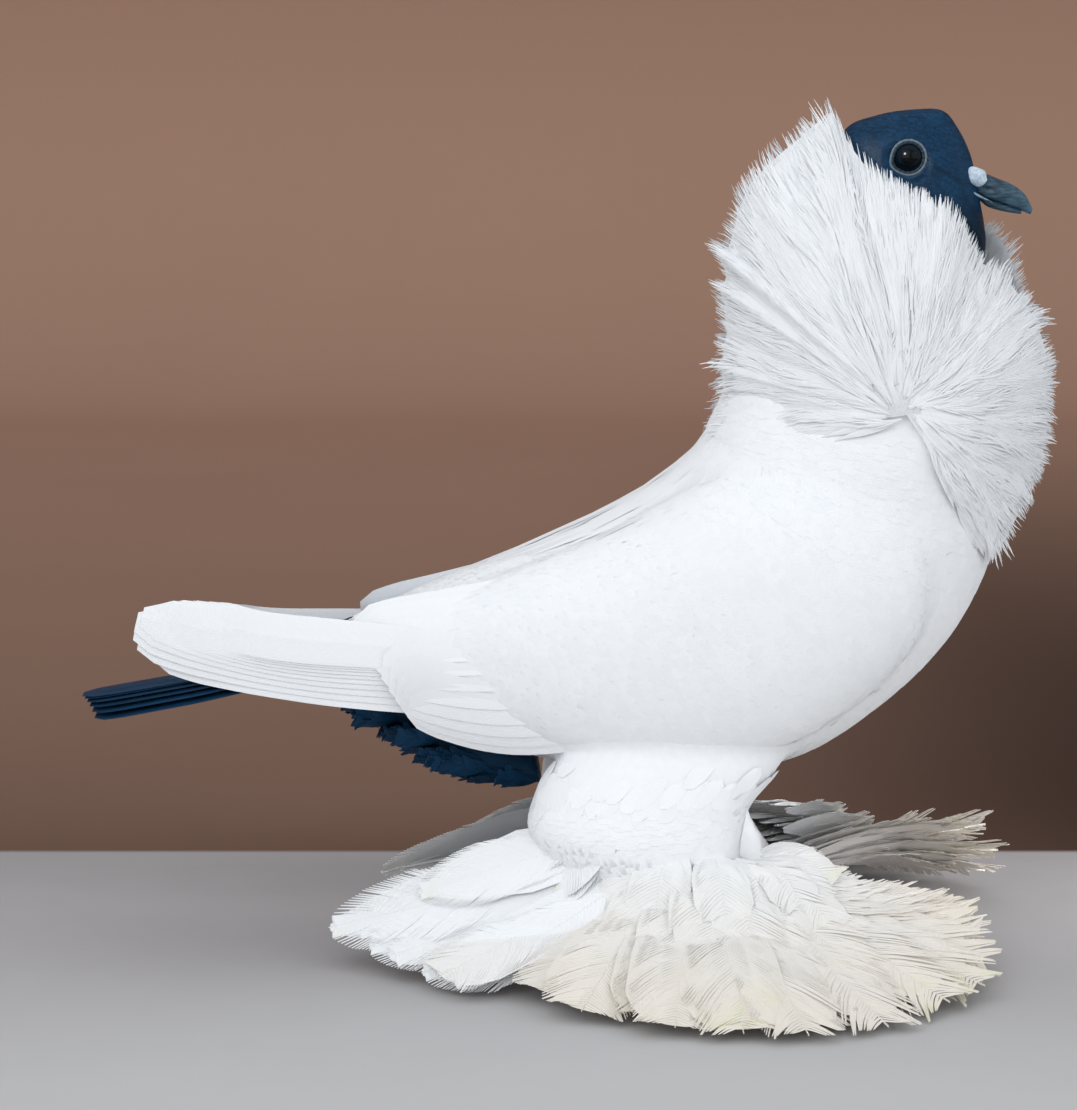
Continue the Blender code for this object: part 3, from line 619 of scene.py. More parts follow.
def new_finish(name, **constants):
    """A Principled material with constant sockets: itself, its Object coordinates and its sockets."""
    made = bpy.data.materials.new(name)
    made.use_nodes = True
    shader = made.node_tree.nodes["Principled BSDF"]
    for key, value in constants.items():
        shader.inputs[key.replace("_", " ")].default_value = value
    place = Wire(made.node_tree).node("ShaderNodeTexCoord", out="Object")
    return made, place, shader.inputs


def feed(wire, inputs, key):
    wire.tree.links.new(wire.socket, inputs[key])


def split(wire):
    """The three numbers of a vector wire."""
    return [wire.node("ShaderNodeSeparateXYZ", {}, {0: wire}, out=k) for k in range(3)]


def bump(height, inputs, strength, distance):
    """Relief from a height wire, into the shader's normal."""
    settings = {"Strength": strength, "Distance": distance, "Height": height}
    feed(height.node("ShaderNodeBump", {}, settings), inputs, "Normal")


def mark(place, name):
    """A number that each point of the mesh carries."""
    return place.node("ShaderNodeAttribute", {"attribute_name": name}, out="Fac")


def barb_waves(place, slope, pitch):
    """Barb lines as a sine: the way along the vane, less the slope times the way across, by the pitch."""
    across, along, _ = split(place.node("ShaderNodeUVMap", {"uv_map": "Vane"}))
    slant = along + abs(across) * -slope
    return slant.maths("SINE", slant * (2 * math.pi / pitch))


def feather_finish(name, colours, relief, sheen=0.15, pitch=0.09):
    """A white feather: tone from its own random mark, barb lines slanting from the shaft."""
    made, place, inputs = new_finish(name, Roughness=0.8, Sheen_Weight=sheen, Specular_IOR_Level=0.25)
    barbs = barb_waves(place, 0.9, pitch) * 0.5 + 0.5
    amount = mark(place, "tone") * 0.55 + place.noise(35.0) * 0.35 + barbs * 0.10
    feed(amount.mix(colours.white_shade, colours.white), inputs, "Base Color")
    bump(barbs, inputs, relief, 0.0002)
    return made


def moor_finish(name, colours, relief=0.3, face=False):
    """Dark feathers with a blue gloss; on the face painted shade darkens the lower head down the bib and a
    crease before the eye.
    """
    made, place, inputs = new_finish(name, Roughness=0.55, Specular_IOR_Level=0.11)
    barbs = barb_waves(place, 0.9, 0.07) * 0.5 + 0.5
    amount = mark(place, "tone") * 0.6 + place.noise(120.0) * 0.5 - 0.1
    colour = amount.mix(colours.moor_deep, colours.moor)
    if face:
        # Painted shade: darker along the crease before the eye and towards the bottom of the head down the
        # bib.
        x, _, z = split(place)
        middle_x, middle_z, cosine, sine = CREASE_SHADE
        across, up = x - (middle_x + SHIFT[0]), z - (middle_z + SHIFT[2])
        off = abs(across * sine + up * cosine)
        way = abs(across * cosine - up * sine)
        crease_shade = (1.0 - off.step(0.0001, 0.0014)) * (1.0 - way.step(0.004, 0.0065))
        bib_shade = (1.0 - z.step(*(level + SHIFT[2] for level in BIB_SHADE_LEVELS))) * 0.75
        colour = bib_shade.most(crease_shade * 0.4).mix(colour, (0.0012, 0.0060, 0.0130))
    feed(colour, inputs, "Base Color")
    feed(barbs * 0.12 + 0.45, inputs, "Roughness")
    bump(barbs, inputs, relief, 0.0002)
    return made


def tint(name, description, *values):
    return bpy.props.FloatVectorProperty(name=name, description=description, subtype="COLOR", default=values)


def metres(name, description, value):
    return bpy.props.FloatProperty(name=name, description=description, default=value, unit="LENGTH")


def watts(name, description, value):
    return bpy.props.FloatProperty(name=name, description=description, default=value, unit="POWER")


def whole(name, description, value, least):
    return bpy.props.IntProperty(name=name, description=description, default=value, min=least)


class PigeonColours(bpy.types.PropertyGroup):
    """Colours of the plumage and of the bare parts, as linear values."""

    white: tint("White", "Lit white of the plumage", 0.90, 0.91, 0.925)
    white_shade: tint("White shade", "White between the barbs", 0.82, 0.845, 0.875)
    cream: tint("Cream", "Worn white of the foot feathers", 0.77, 0.71, 0.63)
    stain: tint("Stain", "Stain at foot feather ends", 0.70, 0.72, 0.42)
    moor: tint("Moor", "Blue gloss of the dark feathers", 0.007, 0.049, 0.117)
    moor_deep: tint("Deep moor", "Dark feathers out of the light", 0.0015, 0.017, 0.040)
    cere: tint("Cere", "Powdery skin over the bill", 0.62, 0.74, 0.84)
    horn: tint("Horn", "Slate of the bill", 0.010, 0.028, 0.048)
    toe: tint("Toe", "Skin of the toes", 0.50, 0.17, 0.14)


class PigeonCoat(bpy.types.PropertyGroup):
    """How deep, fine and dense the coat is."""

    depth: metres("Coat depth", "How far the skin lies in", 0.0014)
    contour_pitch: metres("Contour pitch", "Distance between body feathers", 0.0046)
    contour_length: metres("Contour length", "Length of a body feather", 0.0125)
    head_pitch: metres("Head pitch", "Distance between head feathers", 0.00125)
    head_length: metres("Head length", "Length of a head feather", 0.0036)
    mane_feathers: whole("Mane feathers", "Feathers on each side of the mane", 1000, 100)
    mane_barbs: whole("Mane barbs", "Loose barbs of each mane feather", 8, 3)
    muff_barbs: whole("Foot feather barbs", "Barbs on each side of a foot feather", 44, 8)


class PigeonStudio(bpy.types.PropertyGroup):
    """Light and backdrop."""

    key: watts("Key light", "Large soft light at the upper left", 16.2)
    fill: watts("Fill light", "Soft light from the right", 3.3)
    spark: watts("Eye light", "Small lamp that the eye mirrors", 34.0)
    ambient: bpy.props.FloatProperty(
        name="Ambient", description="Even light of the room", default=0.76, subtype="FACTOR"
    )


def body_unwrap(places):
    return np.stack([0.02 + 0.96 * places[:, 0] / 14.5, 0.5 + places[:, 1] / (2 * np.pi) * 0.96], -1)


def tube_unwrap(first, rows, middle=0.5):
    """The baked map of a tube of so many rows: along it by the place, round it by the angle."""
    return lambda places: np.stack([first + places[:, 0] / rows, middle + places[:, 1] / 6.6], -1)


def fan_unwrap(share, angle, side):
    """The baked map of the mane: the fan as it is seen from its side, the left one beside the right."""
    turn = np.radians(angle)
    across = 0.25 + 0.22 * share * np.cos(turn) + 0.5 * (side > 0)
    return np.stack([across, 0.5 + 0.45 * share * np.sin(turn)], -1)


def vane_feathers(path, face, width, thick):
    """Large feathers: lofted vanes with a raised shaft, whose half width follows the flight shape."""
    share = np.linspace(0, 1, path.shape[1])
    half = np.interp(share, *FLIGHT_SHAPE)[None] * width[:, None] / 2
    taper = np.interp(share, [0, 0.8, 1.0], [1.0, 0.7, 0.35])[None]
    points, polygons = blades(path, face, half, thick * taper, VANE, 6.0)
    return points, polygons, half


def curve_paths(knots, stations):
    """Smooth paths (n, stations, 3) through the knots (n, k, 3) of each feather."""
    count, bends = knots.shape[:2]
    rows = through(np.moveaxis(knots, 1, 0).reshape(bends, -1), np.linspace(0, bends - 1, stations))
    return np.moveaxis(rows.reshape(stations, count, 3), 0, 1)


def cell_corners(count, columns, rows):
    """The lower left corner of each feather's cell on the baked map."""
    cell = np.arange(count)
    return np.stack([(cell % columns) / columns, (cell // columns) / rows], -1)


def cell_map(points, columns, rows):
    """The baked map of large feathers: one cell of the sheet for each, across by along."""
    shape = points.shape[:3]
    corner = cell_corners(shape[0], columns, rows)
    across = np.array(VANE)[:, 0] * 0.45 + 0.5
    along = np.linspace(0.04, 0.96, shape[1])
    u = corner[:, 0, None, None] + np.broadcast_to(across[None, None, :], shape) / columns
    v = corner[:, 1, None, None] + np.broadcast_to(along[None, :, None], shape) / rows
    return np.stack([u, v], -1)


def flight_piece(name, knots, face, width, finish_made, random, cells, replaces, slot, thick):
    """A group of wing or tail feathers as one piece."""
    path = curve_paths(knots, 22)
    points, polygons, half = vane_feathers(path, np.broadcast_to(face, path.shape), width, thick)
    length = np.linalg.norm(np.diff(path, axis=1), axis=2).sum(1)
    maps = {"OFBake": cell_map(points, *cells), "Vane": vane_map(points, half, length, VANE)}
    marks = {"tone": spread_out(random.uniform(0.3, 0.9, len(path)), points)}
    return make_piece(name, points, polygons, finish_made, replaces, slot, maps, marks)


def chosen_shape(share, shapes, lean):
    """Half widths between a full vane's and a slim one's, by each feather's lean."""
    full, slim = (np.interp(share, *shape) for shape in shapes)
    return full + lean[:, None] * (slim - full)


def barb_lines(count, sides, random, width, length, steps, fray, lean, group, angles):
    """Flat layouts of feathers made of barbs: how far along (a) and across (b) each point of a barb lies.

    A barb leaves the shaft at an angle that narrows towards the tip and bends forwards along its way. Its
    length fills the feather's outline, and ends on a round tip. Barbs of a group cling together towards
    their ends by the fray. Returns two arrays (feathers, barbs, steps) and the group of each barb.
    """
    barbs = 2 * sides
    shaft = np.tile(np.linspace(0.10, 0.96, sides) ** 0.92, 2)
    hand = np.repeat([-1.0, 1.0], sides)
    wide, close = angles
    spread = np.radians(np.interp(shaft, [0.1, 0.6, 1.0], [wide, wide * 0.62 + close * 0.38, close]))
    outline = chosen_shape(shaft, BARB_SHAPES, lean)
    q = np.linspace(0, 1, steps)
    cluster = np.arange(barbs) // group
    groups = cluster[-1] + 1
    uneven = random.normal(0, 1, (count, barbs)) * 0.05
    uneven = uneven + random.normal(0, 1, (count, groups))[:, cluster] * 0.07
    reach = width[:, None] / 2 * outline * (0.95 + uneven * (0.1 + fray[:, None]))
    room = (0.985 + 0.05 * fray[:, None] * random.uniform(0, 1, (count, groups))[:, cluster] - shaft[None])
    run = np.minimum(reach / np.tan(spread), 0.22 * length[:, None])
    run = np.minimum(run, np.maximum(room, 0.015) * length[:, None])
    end = np.clip(shaft[None] + run / length[:, None], 0, 1)
    rounded_tip = np.sqrt(np.clip(1 - (np.clip(end - 0.60, 0, 1) / 0.40) ** 2, 0.02, 1))
    over = np.minimum(rounded_tip / np.maximum(outline, 0.1), 1) - 1
    reach = reach * (1 + np.maximum(lean, 0.3)[:, None] * over)
    a = shaft[None, :, None] * length[:, None, None] + run[..., None] * q**1.15
    b = (hand * reach)[..., None] * (q * (1.22 - 0.22 * q))
    cling = (0.62 * fray)[:, None, None] * np.clip(q - 0.45, 0, 1) ** 1.2 * 1.6
    for values in (a, b):
        centre = np.stack([values[:, cluster == g].mean(1) for g in range(groups)], 1)
        values += (centre[:, cluster] - values) * np.clip(cling, 0, 0.85)
    return a, b, cluster


def barbed_feathers(name, knots, face, width, fray, finish_made, random, cells, **options):
    """Feathers with a smooth vane and separate barbs over it, laid on a bent line through their knots.

    A point at (a, b) of the flat layout stands at the middle line's point at a, plus b across, less the
    camber b^2, plus its group's own small lift, which grows towards the barb's end.
    """
    count, steps, stations = len(knots), 4, 24
    last = stations - 1
    fine = curve_paths(knots, stations)
    length = np.linalg.norm(np.diff(fine, axis=1), axis=2).sum(1)
    side, up = frames(fine, np.broadcast_to(face, fine.shape))
    lean, stain, warm = (options.get(key, np.zeros(count)) for key in ("lean", "stain", "warm"))
    camber = options.get("camber", 9.0)
    a, b, cluster = barb_lines(count, options["barbs"], random, width, length, steps, fray, lean,
                               options["group"], options["angles"])
    share_a = a / length[:, None, None]
    base = np.clip(np.floor(share_a * last).astype(int), 0, last - 1)
    part = (share_a * last - base)[..., None]
    pick = np.arange(count)[:, None, None]

    def carried(values):
        return values[pick, base] * (1 - part) + values[pick, base + 1] * part

    q = np.linspace(0, 1, steps)
    loose = random.normal(0, 1, (count, cluster[-1] + 1))[:, cluster] * options["loose"]
    rise = -camber * b**2 + (loose * (0.15 + fray[:, None]))[..., None] * q**2 + 0.00020
    path = carried(fine) + b[..., None] * carried(side) + rise[..., None] * carried(up)
    path = path.reshape(-1, steps, 3)
    fat = options["fat"] * np.array([1.0, 1.0, 0.85, 0.3])
    layer, faces = blades(path, carried(up).reshape(-1, steps, 3), np.tile(fat, (len(path), 1)),
                          options.get("thick", 0.00018), STRAND)
    corner = cell_corners(count, *cells)
    tone = random.uniform(0.25, 0.9, count)[:, None] + random.normal(0, 0.12, (count, a.shape[1]))
    everything, polygons = [], []
    maps, marks = {"OFBake": [], "Vane": []}, {"tone": [], "along": [], "stain": [], "warm": []}

    def in_cell(flat):
        wide = (-1, *[1] * (flat.ndim - 2))
        u = 0.5 + flat[..., 0] / 100 / np.maximum(width, 1e-6).reshape(wide) * 0.9
        v = 0.05 + 0.8 * (flat[..., 1] / 100) / length.reshape(wide)
        spots = np.stack([np.clip(u, 0.02, 0.98) / cells[0], np.clip(v, 0.02, 0.98) / cells[1]], -1)
        return corner.reshape(count, *[1] * (flat.ndim - 2), 2) + spots

    def add(layer, faces, flat, tone, along):
        """One layer of blades, with its maps and marks."""
        total = sum(len(block) for block in everything)
        polygons.extend(p + total for p in faces)
        everything.append(layer.reshape(-1, 3))
        maps["OFBake"].append(in_cell(flat).reshape(-1, 2))
        maps["Vane"].append(flat.reshape(-1, 2))
        shape = flat.shape[:-1]
        for key, values in (("tone", tone), ("along", along), ("stain", stain), ("warm", warm)):
            values = values.reshape(values.shape + (1,) * (len(shape) - values.ndim))
            marks[key].append(np.broadcast_to(values, shape).ravel())

    flat = np.stack([b, a], -1)[..., None, :] * 100
    flat = np.broadcast_to(flat, (*a.shape, len(STRAND), 2))
    add(layer, faces, flat, tone, np.clip(share_a, 0, 1.2))
    share = np.linspace(0, 1, stations)
    close = 1.0 - 0.2 * np.clip(fray, 0, 1)[:, None]
    web = chosen_shape(share, WEB_SHAPES, lean) * width[:, None] / 2 * close
    ends = share[None] * (1.0 - 0.10 * np.clip(fray, 0, 1))[:, None] * last
    at = np.clip(np.floor(ends).astype(int), 0, last - 1)
    rest = (ends - at)[..., None]
    line = fine[pick[..., 0], at] * (1 - rest) + fine[pick[..., 0], at + 1] * rest
    some = np.array([0, 2, 5, 8, 11, 14, 17, 19, 21, 22, 23])
    share = share[some]
    for middle, half, high, profile, sag in (
        (line[:, some], web[:, some], 0.00012, VANE, camber),
        (fine[:, some], np.interp(share, [0, 1], [0.0006, 0.00015])[None], 0.00045, LEAF, 0.0),
    ):
        layer, faces = blades(middle, np.broadcast_to(face, middle.shape), half, high, profile, sag)
        add(layer, faces, vane_map(layer, half, length, profile), tone.mean(1), share[None])
    return make_piece(
        name, np.concatenate(everything), polygons, finish_made, options["replaces"], options["slot"],
        {key: np.concatenate(blocks) for key, blocks in maps.items()},
        {key: np.concatenate(blocks) for key, blocks in marks.items()}, options.get("floor"),
    )


def worn_finish(name, colours):
    """Foot feathers: white at the root, cream and frayed to the tip, some with a green-yellow stain."""
    made, place, inputs = new_finish(name, Roughness=0.85, Sheen_Weight=0.1, Specular_IOR_Level=0.2)
    tone, along, stain, warm = (mark(place, key) for key in ("tone", "along", "stain", "warm"))
    patch = place.noise(60.0)
    plain = (tone * 0.6 + patch * 0.4).mix(colours.white_shade, colours.white)
    creamy = (warm * (0.25 + along * 0.75) + patch * 0.3 - 0.15).mix(plain, colours.cream)
    green = stain * along.step(0.72, 1.0) * place.noise(140.0).step(0.42, 0.62)
    feed((green * 0.6).mix(creamy, colours.stain), inputs, "Base Color")
    bump(barb_waves(place, 0.8, 0.1), inputs, 0.3, 0.0002)
    return made


def swollen(points):
    """Points of torso and neck, moved outwards where the mane's rosette rises from them."""
    away = np.hypot(points[..., 0] - ROSETTE[0], points[..., 2] - ROSETTE[1] + 0.004)
    points[..., 1] += 0.0030 * np.tanh(points[..., 1] / 0.012) * np.exp(-((away / 0.020) ** 2))
    return points


def laid_coat(name, surface, places, length, half, finish_made, unwrap, random, **options):
    """Small feathers that lie on a surface (u, v, lift), from root places on, along rising or falling u.

    Each point of a feather is put on the surface itself: its way along is divided by the length of the
    tangent to u, its way across by that to v, and both are turned by the feather's own sway. Its lift
    grows from the root to the tip, plus its profile's thickness, less a camber at its edges and a dip at
    its tip.
    """
    flow, turn = options.get("flow", -1.0), options.get("turn", 1.0)
    shape = np.array(options.get("shape", BODY_SHAPE))
    profile = np.array(options.get("profile", BLADE))
    count, stations = len(places), len(shape)
    share = np.linspace(0, 1, stations)
    length = length * random.uniform(0.88, 1.1, count)
    half = half * random.uniform(0.9, 1.08, count)
    step = 1e-3
    u, v = places[:, :1], places[:, 1:]
    long = np.linalg.norm(surface(u + step, v, 0 * u) - surface(u, v, 0 * u), axis=-1) / step
    sway = random.normal(0, options.get("sway", 0.05), (count, 1))
    along = length[:, None] * share
    path_u = np.clip(u + flow * along * np.cos(sway) / long, options.get("low", -9), options.get("high", 999))
    wide = np.linalg.norm(surface(path_u, v + 0 * path_u + step, 0 * path_u)
                          - surface(path_u, v + 0 * path_u, 0 * path_u), axis=-1) / step
    across = (half[:, None] * shape)[..., None] * profile[:, 0]
    drawn = (along * np.sin(sway))[..., None] + turn * flow * across
    spot_v = v[..., None] + drawn / np.maximum(wide, 1e-5)[..., None]
    spot_u = np.broadcast_to(path_u[..., None], spot_v.shape)
    lift = options.get("sink", -0.0003) + options.get("rise", 0.00034) * share**1.2
    lift = lift + random.uniform(-1, 1, (count, 1)) * options.get("rough", 0.00002)
    lift = lift - options.get("dip", 0.0) * np.clip(share * 4 - 3, 0, 1)
    if "depth" in options:
        lift = lift - options["depth"][:, None]
    taper = np.interp(share, [0, 0.7, 1.0], [1.0, 0.8, 0.4])
    lift = lift[..., None] + options.get("thick", 0.00003) * taper[:, None] * profile[:, 1]
    lift = lift - options.get("camber", 0.00003) * np.abs(profile[:, 0]) ** 2
    points = surface(spot_u, spot_v, lift)
    polygons = loops_of(points)
    maps = {
        "OFBake": patches(unwrap(places), points, profile),
        "Vane": vane_map(points, half[:, None] * shape, length, profile),
    }
    marks = {"tone": spread_out(random.uniform(0.2, 1.0, count), points)}
    return make_piece(name, points, polygons, finish_made, options.get("replaces", ()), options.get("slot"),
                      maps, marks, options.get("floor"))


def loops_of(points):
    """Polygons of closed blades: rings of each blade joined one to the next, and a cap at each end."""
    count, stations, ring = points.shape[:3]
    index = np.arange(count * stations * ring).reshape(count, stations, ring)
    beside = np.roll(index, -1, axis=2)
    quads = np.stack([index[:, :-1], beside[:, :-1], beside[:, 1:], index[:, 1:]], -1).reshape(-1, 4)
    return [quads, np.concatenate([index[:, 0, ::-1], index[:, -1]])]


def swirl(share):
    """How many degrees the feathers turn round the rosette, close to its middle."""
    return SWIRL[0] * np.exp(-np.clip(share, 0, 2) / SWIRL[1])


class PIGEON_OT_skin(bpy.types.Operator):
    """Makes one skin under the coat, from the tail's root to the bill and down both legs."""

    bl_idname = "pigeon.skin"
    bl_label = "Skin"

    def execute(self, context):
        colours, coat = context.scene.pigeon_colours, context.scene.pigeon_coat
        tubes = []
        for surface, high, count, deep in (
            (body_surface, 14.0, 110, 1.0),
            (head_surface, 7.0, 60, 0.35),
            (leg_surface(-1), 9.0, 52, 1.0),
            (leg_surface(1), 9.0, 52, 1.0),
        ):
            u, v = turns(np.linspace(0, high, count), 64)
            tubes.append(surface(u, v, np.full_like(u, -coat.depth * deep)))
        made, place, inputs = new_finish("skin", Roughness=0.8, Sheen_Weight=0.15, Specular_IOR_Level=0.25)
        x, _, z = split(place)
        line = HEAD_TOP_LINE + SHIFT[2] + HEAD_TILT * SHIFT[0]
        head = (z + x * HEAD_TILT).step(line - 0.0006, line + 0.0006)
        rump = (0.0 - x).step(0.050 - SHIFT[0], 0.054 - SHIFT[0])
        grain = place.noise(400.0)
        white = grain.mix(colours.white_shade, colours.white)
        moor = grain.mix(colours.moor_deep, colours.moor)
        feed(head.most(rump).mix(white, moor), inputs, "Base Color")
        bump(grain, inputs, 0.3, 0.0003)
        flesh = ("torso", "head", "leg_right", "leg_left")
        skin = make_piece("skin", *joined(tubes), made, flesh, "white_feather")
        settled(skin, (
            ("REMESH", {"mode": "VOXEL", "voxel_size": 0.0013, "use_smooth_shade": True}),
            ("SMOOTH", {"factor": 0.5, "iterations": 3}),
        ))
        spots = np.empty(len(skin.data.vertices) * 3)
        skin.data.vertices.foreach_get("co", spots)
        spots = spots.reshape(-1, 3) - SHIFT
        inside = np.ones(len(spots))
        for axis, low, high, soft_low, soft_high in THIGH_BELT:
            level = spots[:, axis]
            inside *= np.clip((level - low) / soft_low, 0, 1) * np.clip((high - level) / soft_high, 0, 1)
        group = skin.vertex_groups.new(name="thighs")
        for level in range(1, 6):
            chosen = np.flatnonzero(np.round(inside * 5) == level)
            group.add(chosen.tolist(), level / 5, "REPLACE")
        settled(skin, (
            ("SMOOTH", {"factor": 0.5, "iterations": 110, "vertex_group": "thighs"}),
            ("DISPLACE", {"strength": coat.depth * 0.85, "mid_level": 0.0, "vertex_group": "thighs"}),
        ))
        skin.data.materials.clear()
        skin.data.materials.append(made)
        return {"FINISHED"}


class PIGEON_OT_body_coat(bpy.types.Operator):
    """Makes the small overlapping feathers of back, breast and belly, and the dark ones over the tail."""

    bl_idname = "pigeon.body_coat"
    bl_label = "Body feathers"

    def execute(self, context):
        colours, coat = context.scene.pigeon_colours, context.scene.pigeon_coat
        random = np.random.default_rng(3)
        white = feather_finish("white_contour", colours, 0.12)
        moor = moor_finish("moor_contour", colours)
        rows = np.arange(0.12, 13.9, 0.10)
        places = row_places(body_surface, rows, -np.pi, np.pi, coat.contour_pitch, random)
        share = wing_bulge(places[:, 0], places[:, 1])[1]
        bare = (share > WING_EDGE) | (places[:, 0] > WING_ROWS[1]) | (places[:, 0] < WING_ROWS[0])
        spots = body_surface(places[:, 0], places[:, 1])
        border = THIGH_TOP + random.normal(0, THIGH_RAGGED, len(spots))
        thigh = (spots[:, 2] < border) & (np.abs(spots[:, 1]) > THIGH_OUT)
        thigh &= (spots[:, 0] > THIGH_ENDS[0]) & (spots[:, 0] < THIGH_ENDS[1])
        bare &= ~thigh
        dark = places[:, 0] < RUMP_ROW
        laid_coat("body_coat", body_surface, places[bare & ~dark], coat.contour_length, 0.0042, white,
                  body_unwrap, random, slot="white_feather", low=-0.35, sway=0.07, rise=0.00022)
        laid_coat("rump_coat", body_surface, places[bare & dark], coat.contour_length, 0.0040, moor,
                  body_unwrap, random, slot="moor_feather", low=-0.35)
        for side, word in SIDES:
            surface = leg_surface(side)
            spots = row_places(surface, np.arange(1.6, 8.2, 0.14), 0, 2 * np.pi, 0.0036, random)
            spots = spots[spots[:, 0] > random.normal(3.3, 0.4, len(spots))]
            laid_coat(
                "leg_coat_" + word, surface, spots, 0.0115, 0.0034, white,
                tube_unwrap(0.02, 9.5, 0.02), random, slot="white_feather", flow=1.0, turn=side, high=9.0,
                rise=0.00030, sway=0.10, floor=0.0005,
            )
        return {"FINISHED"}


class PIGEON_OT_wings(bpy.types.Operator):
    """Makes the folded wings: coverts, secondaries and ten primaries on each side."""

    bl_idname = "pigeon.wings"
    bl_label = "Wings"

    def execute(self, context):
        colours = context.scene.pigeon_colours
        random = np.random.default_rng(5)
        white = feather_finish("white_wing", colours, 0.15)
        for side, word in SIDES:
            node = "wing_" + word
            rows = np.concatenate([np.arange(1.35, 5.2, 0.07), np.arange(5.2, 8.5, 0.10)])
            low, high = (0.35, 2.55) if side > 0 else (-2.55, -0.35)
            places = row_places(body_surface, rows, low, high, 0.0046, random)
            share = wing_bulge(places[:, 0], places[:, 1])[1]
            places = places[(share < 0.97) & (places[:, 0] < 8.4)]
            laid_coat(
                "coverts_" + word, body_surface, places, 0.0130, 0.0042, white, body_unwrap, random,
                slot="white_feather", replaces=(node,), low=0.25, rise=0.00022, dip=0.00020, sway=0.06,
            )
            self.secondaries(side, word, white, random)
            self.primaries(side, word, white, random)
        return {"FINISHED"}

    def secondaries(self, side, word, white, random):
        count = 10
        high = np.array([0, 0.09, 0.19, 0.30, 0.42, 0.55, 0.68, 0.80, 0.91, 1.0])
        knots = []
        for place, angle, lift in (
            (5.2 + 0 * high, 120 - 66 * high, -0.0035 - 0.0020 * high),
            (2.7 + 0 * high, 119 - 67 * high, 0.0030 - 0.0040 * high),
            (0.35 + 0.7 * (1 - high), 113 - 60 * high, 0.0080 - 0.0062 * high),
        ):
            layer = 0.00034 * np.arange(count)
            knots.append(rounded(TORSO, place, side * np.radians(angle), lift + layer))
        knots = np.stack(knots, 1)
        middle = np.radians(116 - 62 * high) * side
        level = np.full(count, 1.8)
        face = unit(rounded(TORSO, level, middle, 0.01) - rounded(TORSO, level, middle))
        flight_piece("secondaries_" + word, knots, face[:, None], np.full(count, 0.0175), white, random,
                     (5, 2), ("wing_" + word,), "white_feather", 0.00012)

    def primaries(self, side, word, white, random):
        count = 10
        high = np.array([0, 0.17, 0.33, 0.48, 0.61, 0.72, 0.81, 0.89, 0.95, 1.0])
        tips = through(PRIMARY_TIPS, high * (len(PRIMARY_TIPS) - 1))
        out = 0.00040 * np.arange(count)
        drop = LEFT_TIP_DROP * high * (side > 0)
        flat = np.zeros(count)
        knots = np.stack([
            np.stack([flat, side * (0.0300 + out), 0.0800 + 0.0100 * high], -1),
            np.stack([flat - 0.040, side * (0.0240 + out), 0.0795 + 0.0135 * high - drop / 2], -1),
            np.stack([flat - 0.085, side * (0.0180 + out), 0.0840 + 0.0120 * high - drop], -1),
            np.stack([tips[:, 0], side * (0.0100 + out), tips[:, 1] - drop], -1),
        ], 1)
        face = np.array([-0.20, side * 0.97, 0.12])
        flight_piece("primaries_" + word, knots, face, np.full(count, 0.0140), white, random, (5, 2),
                     ("wing_" + word,), "white_feather", 0.00012)


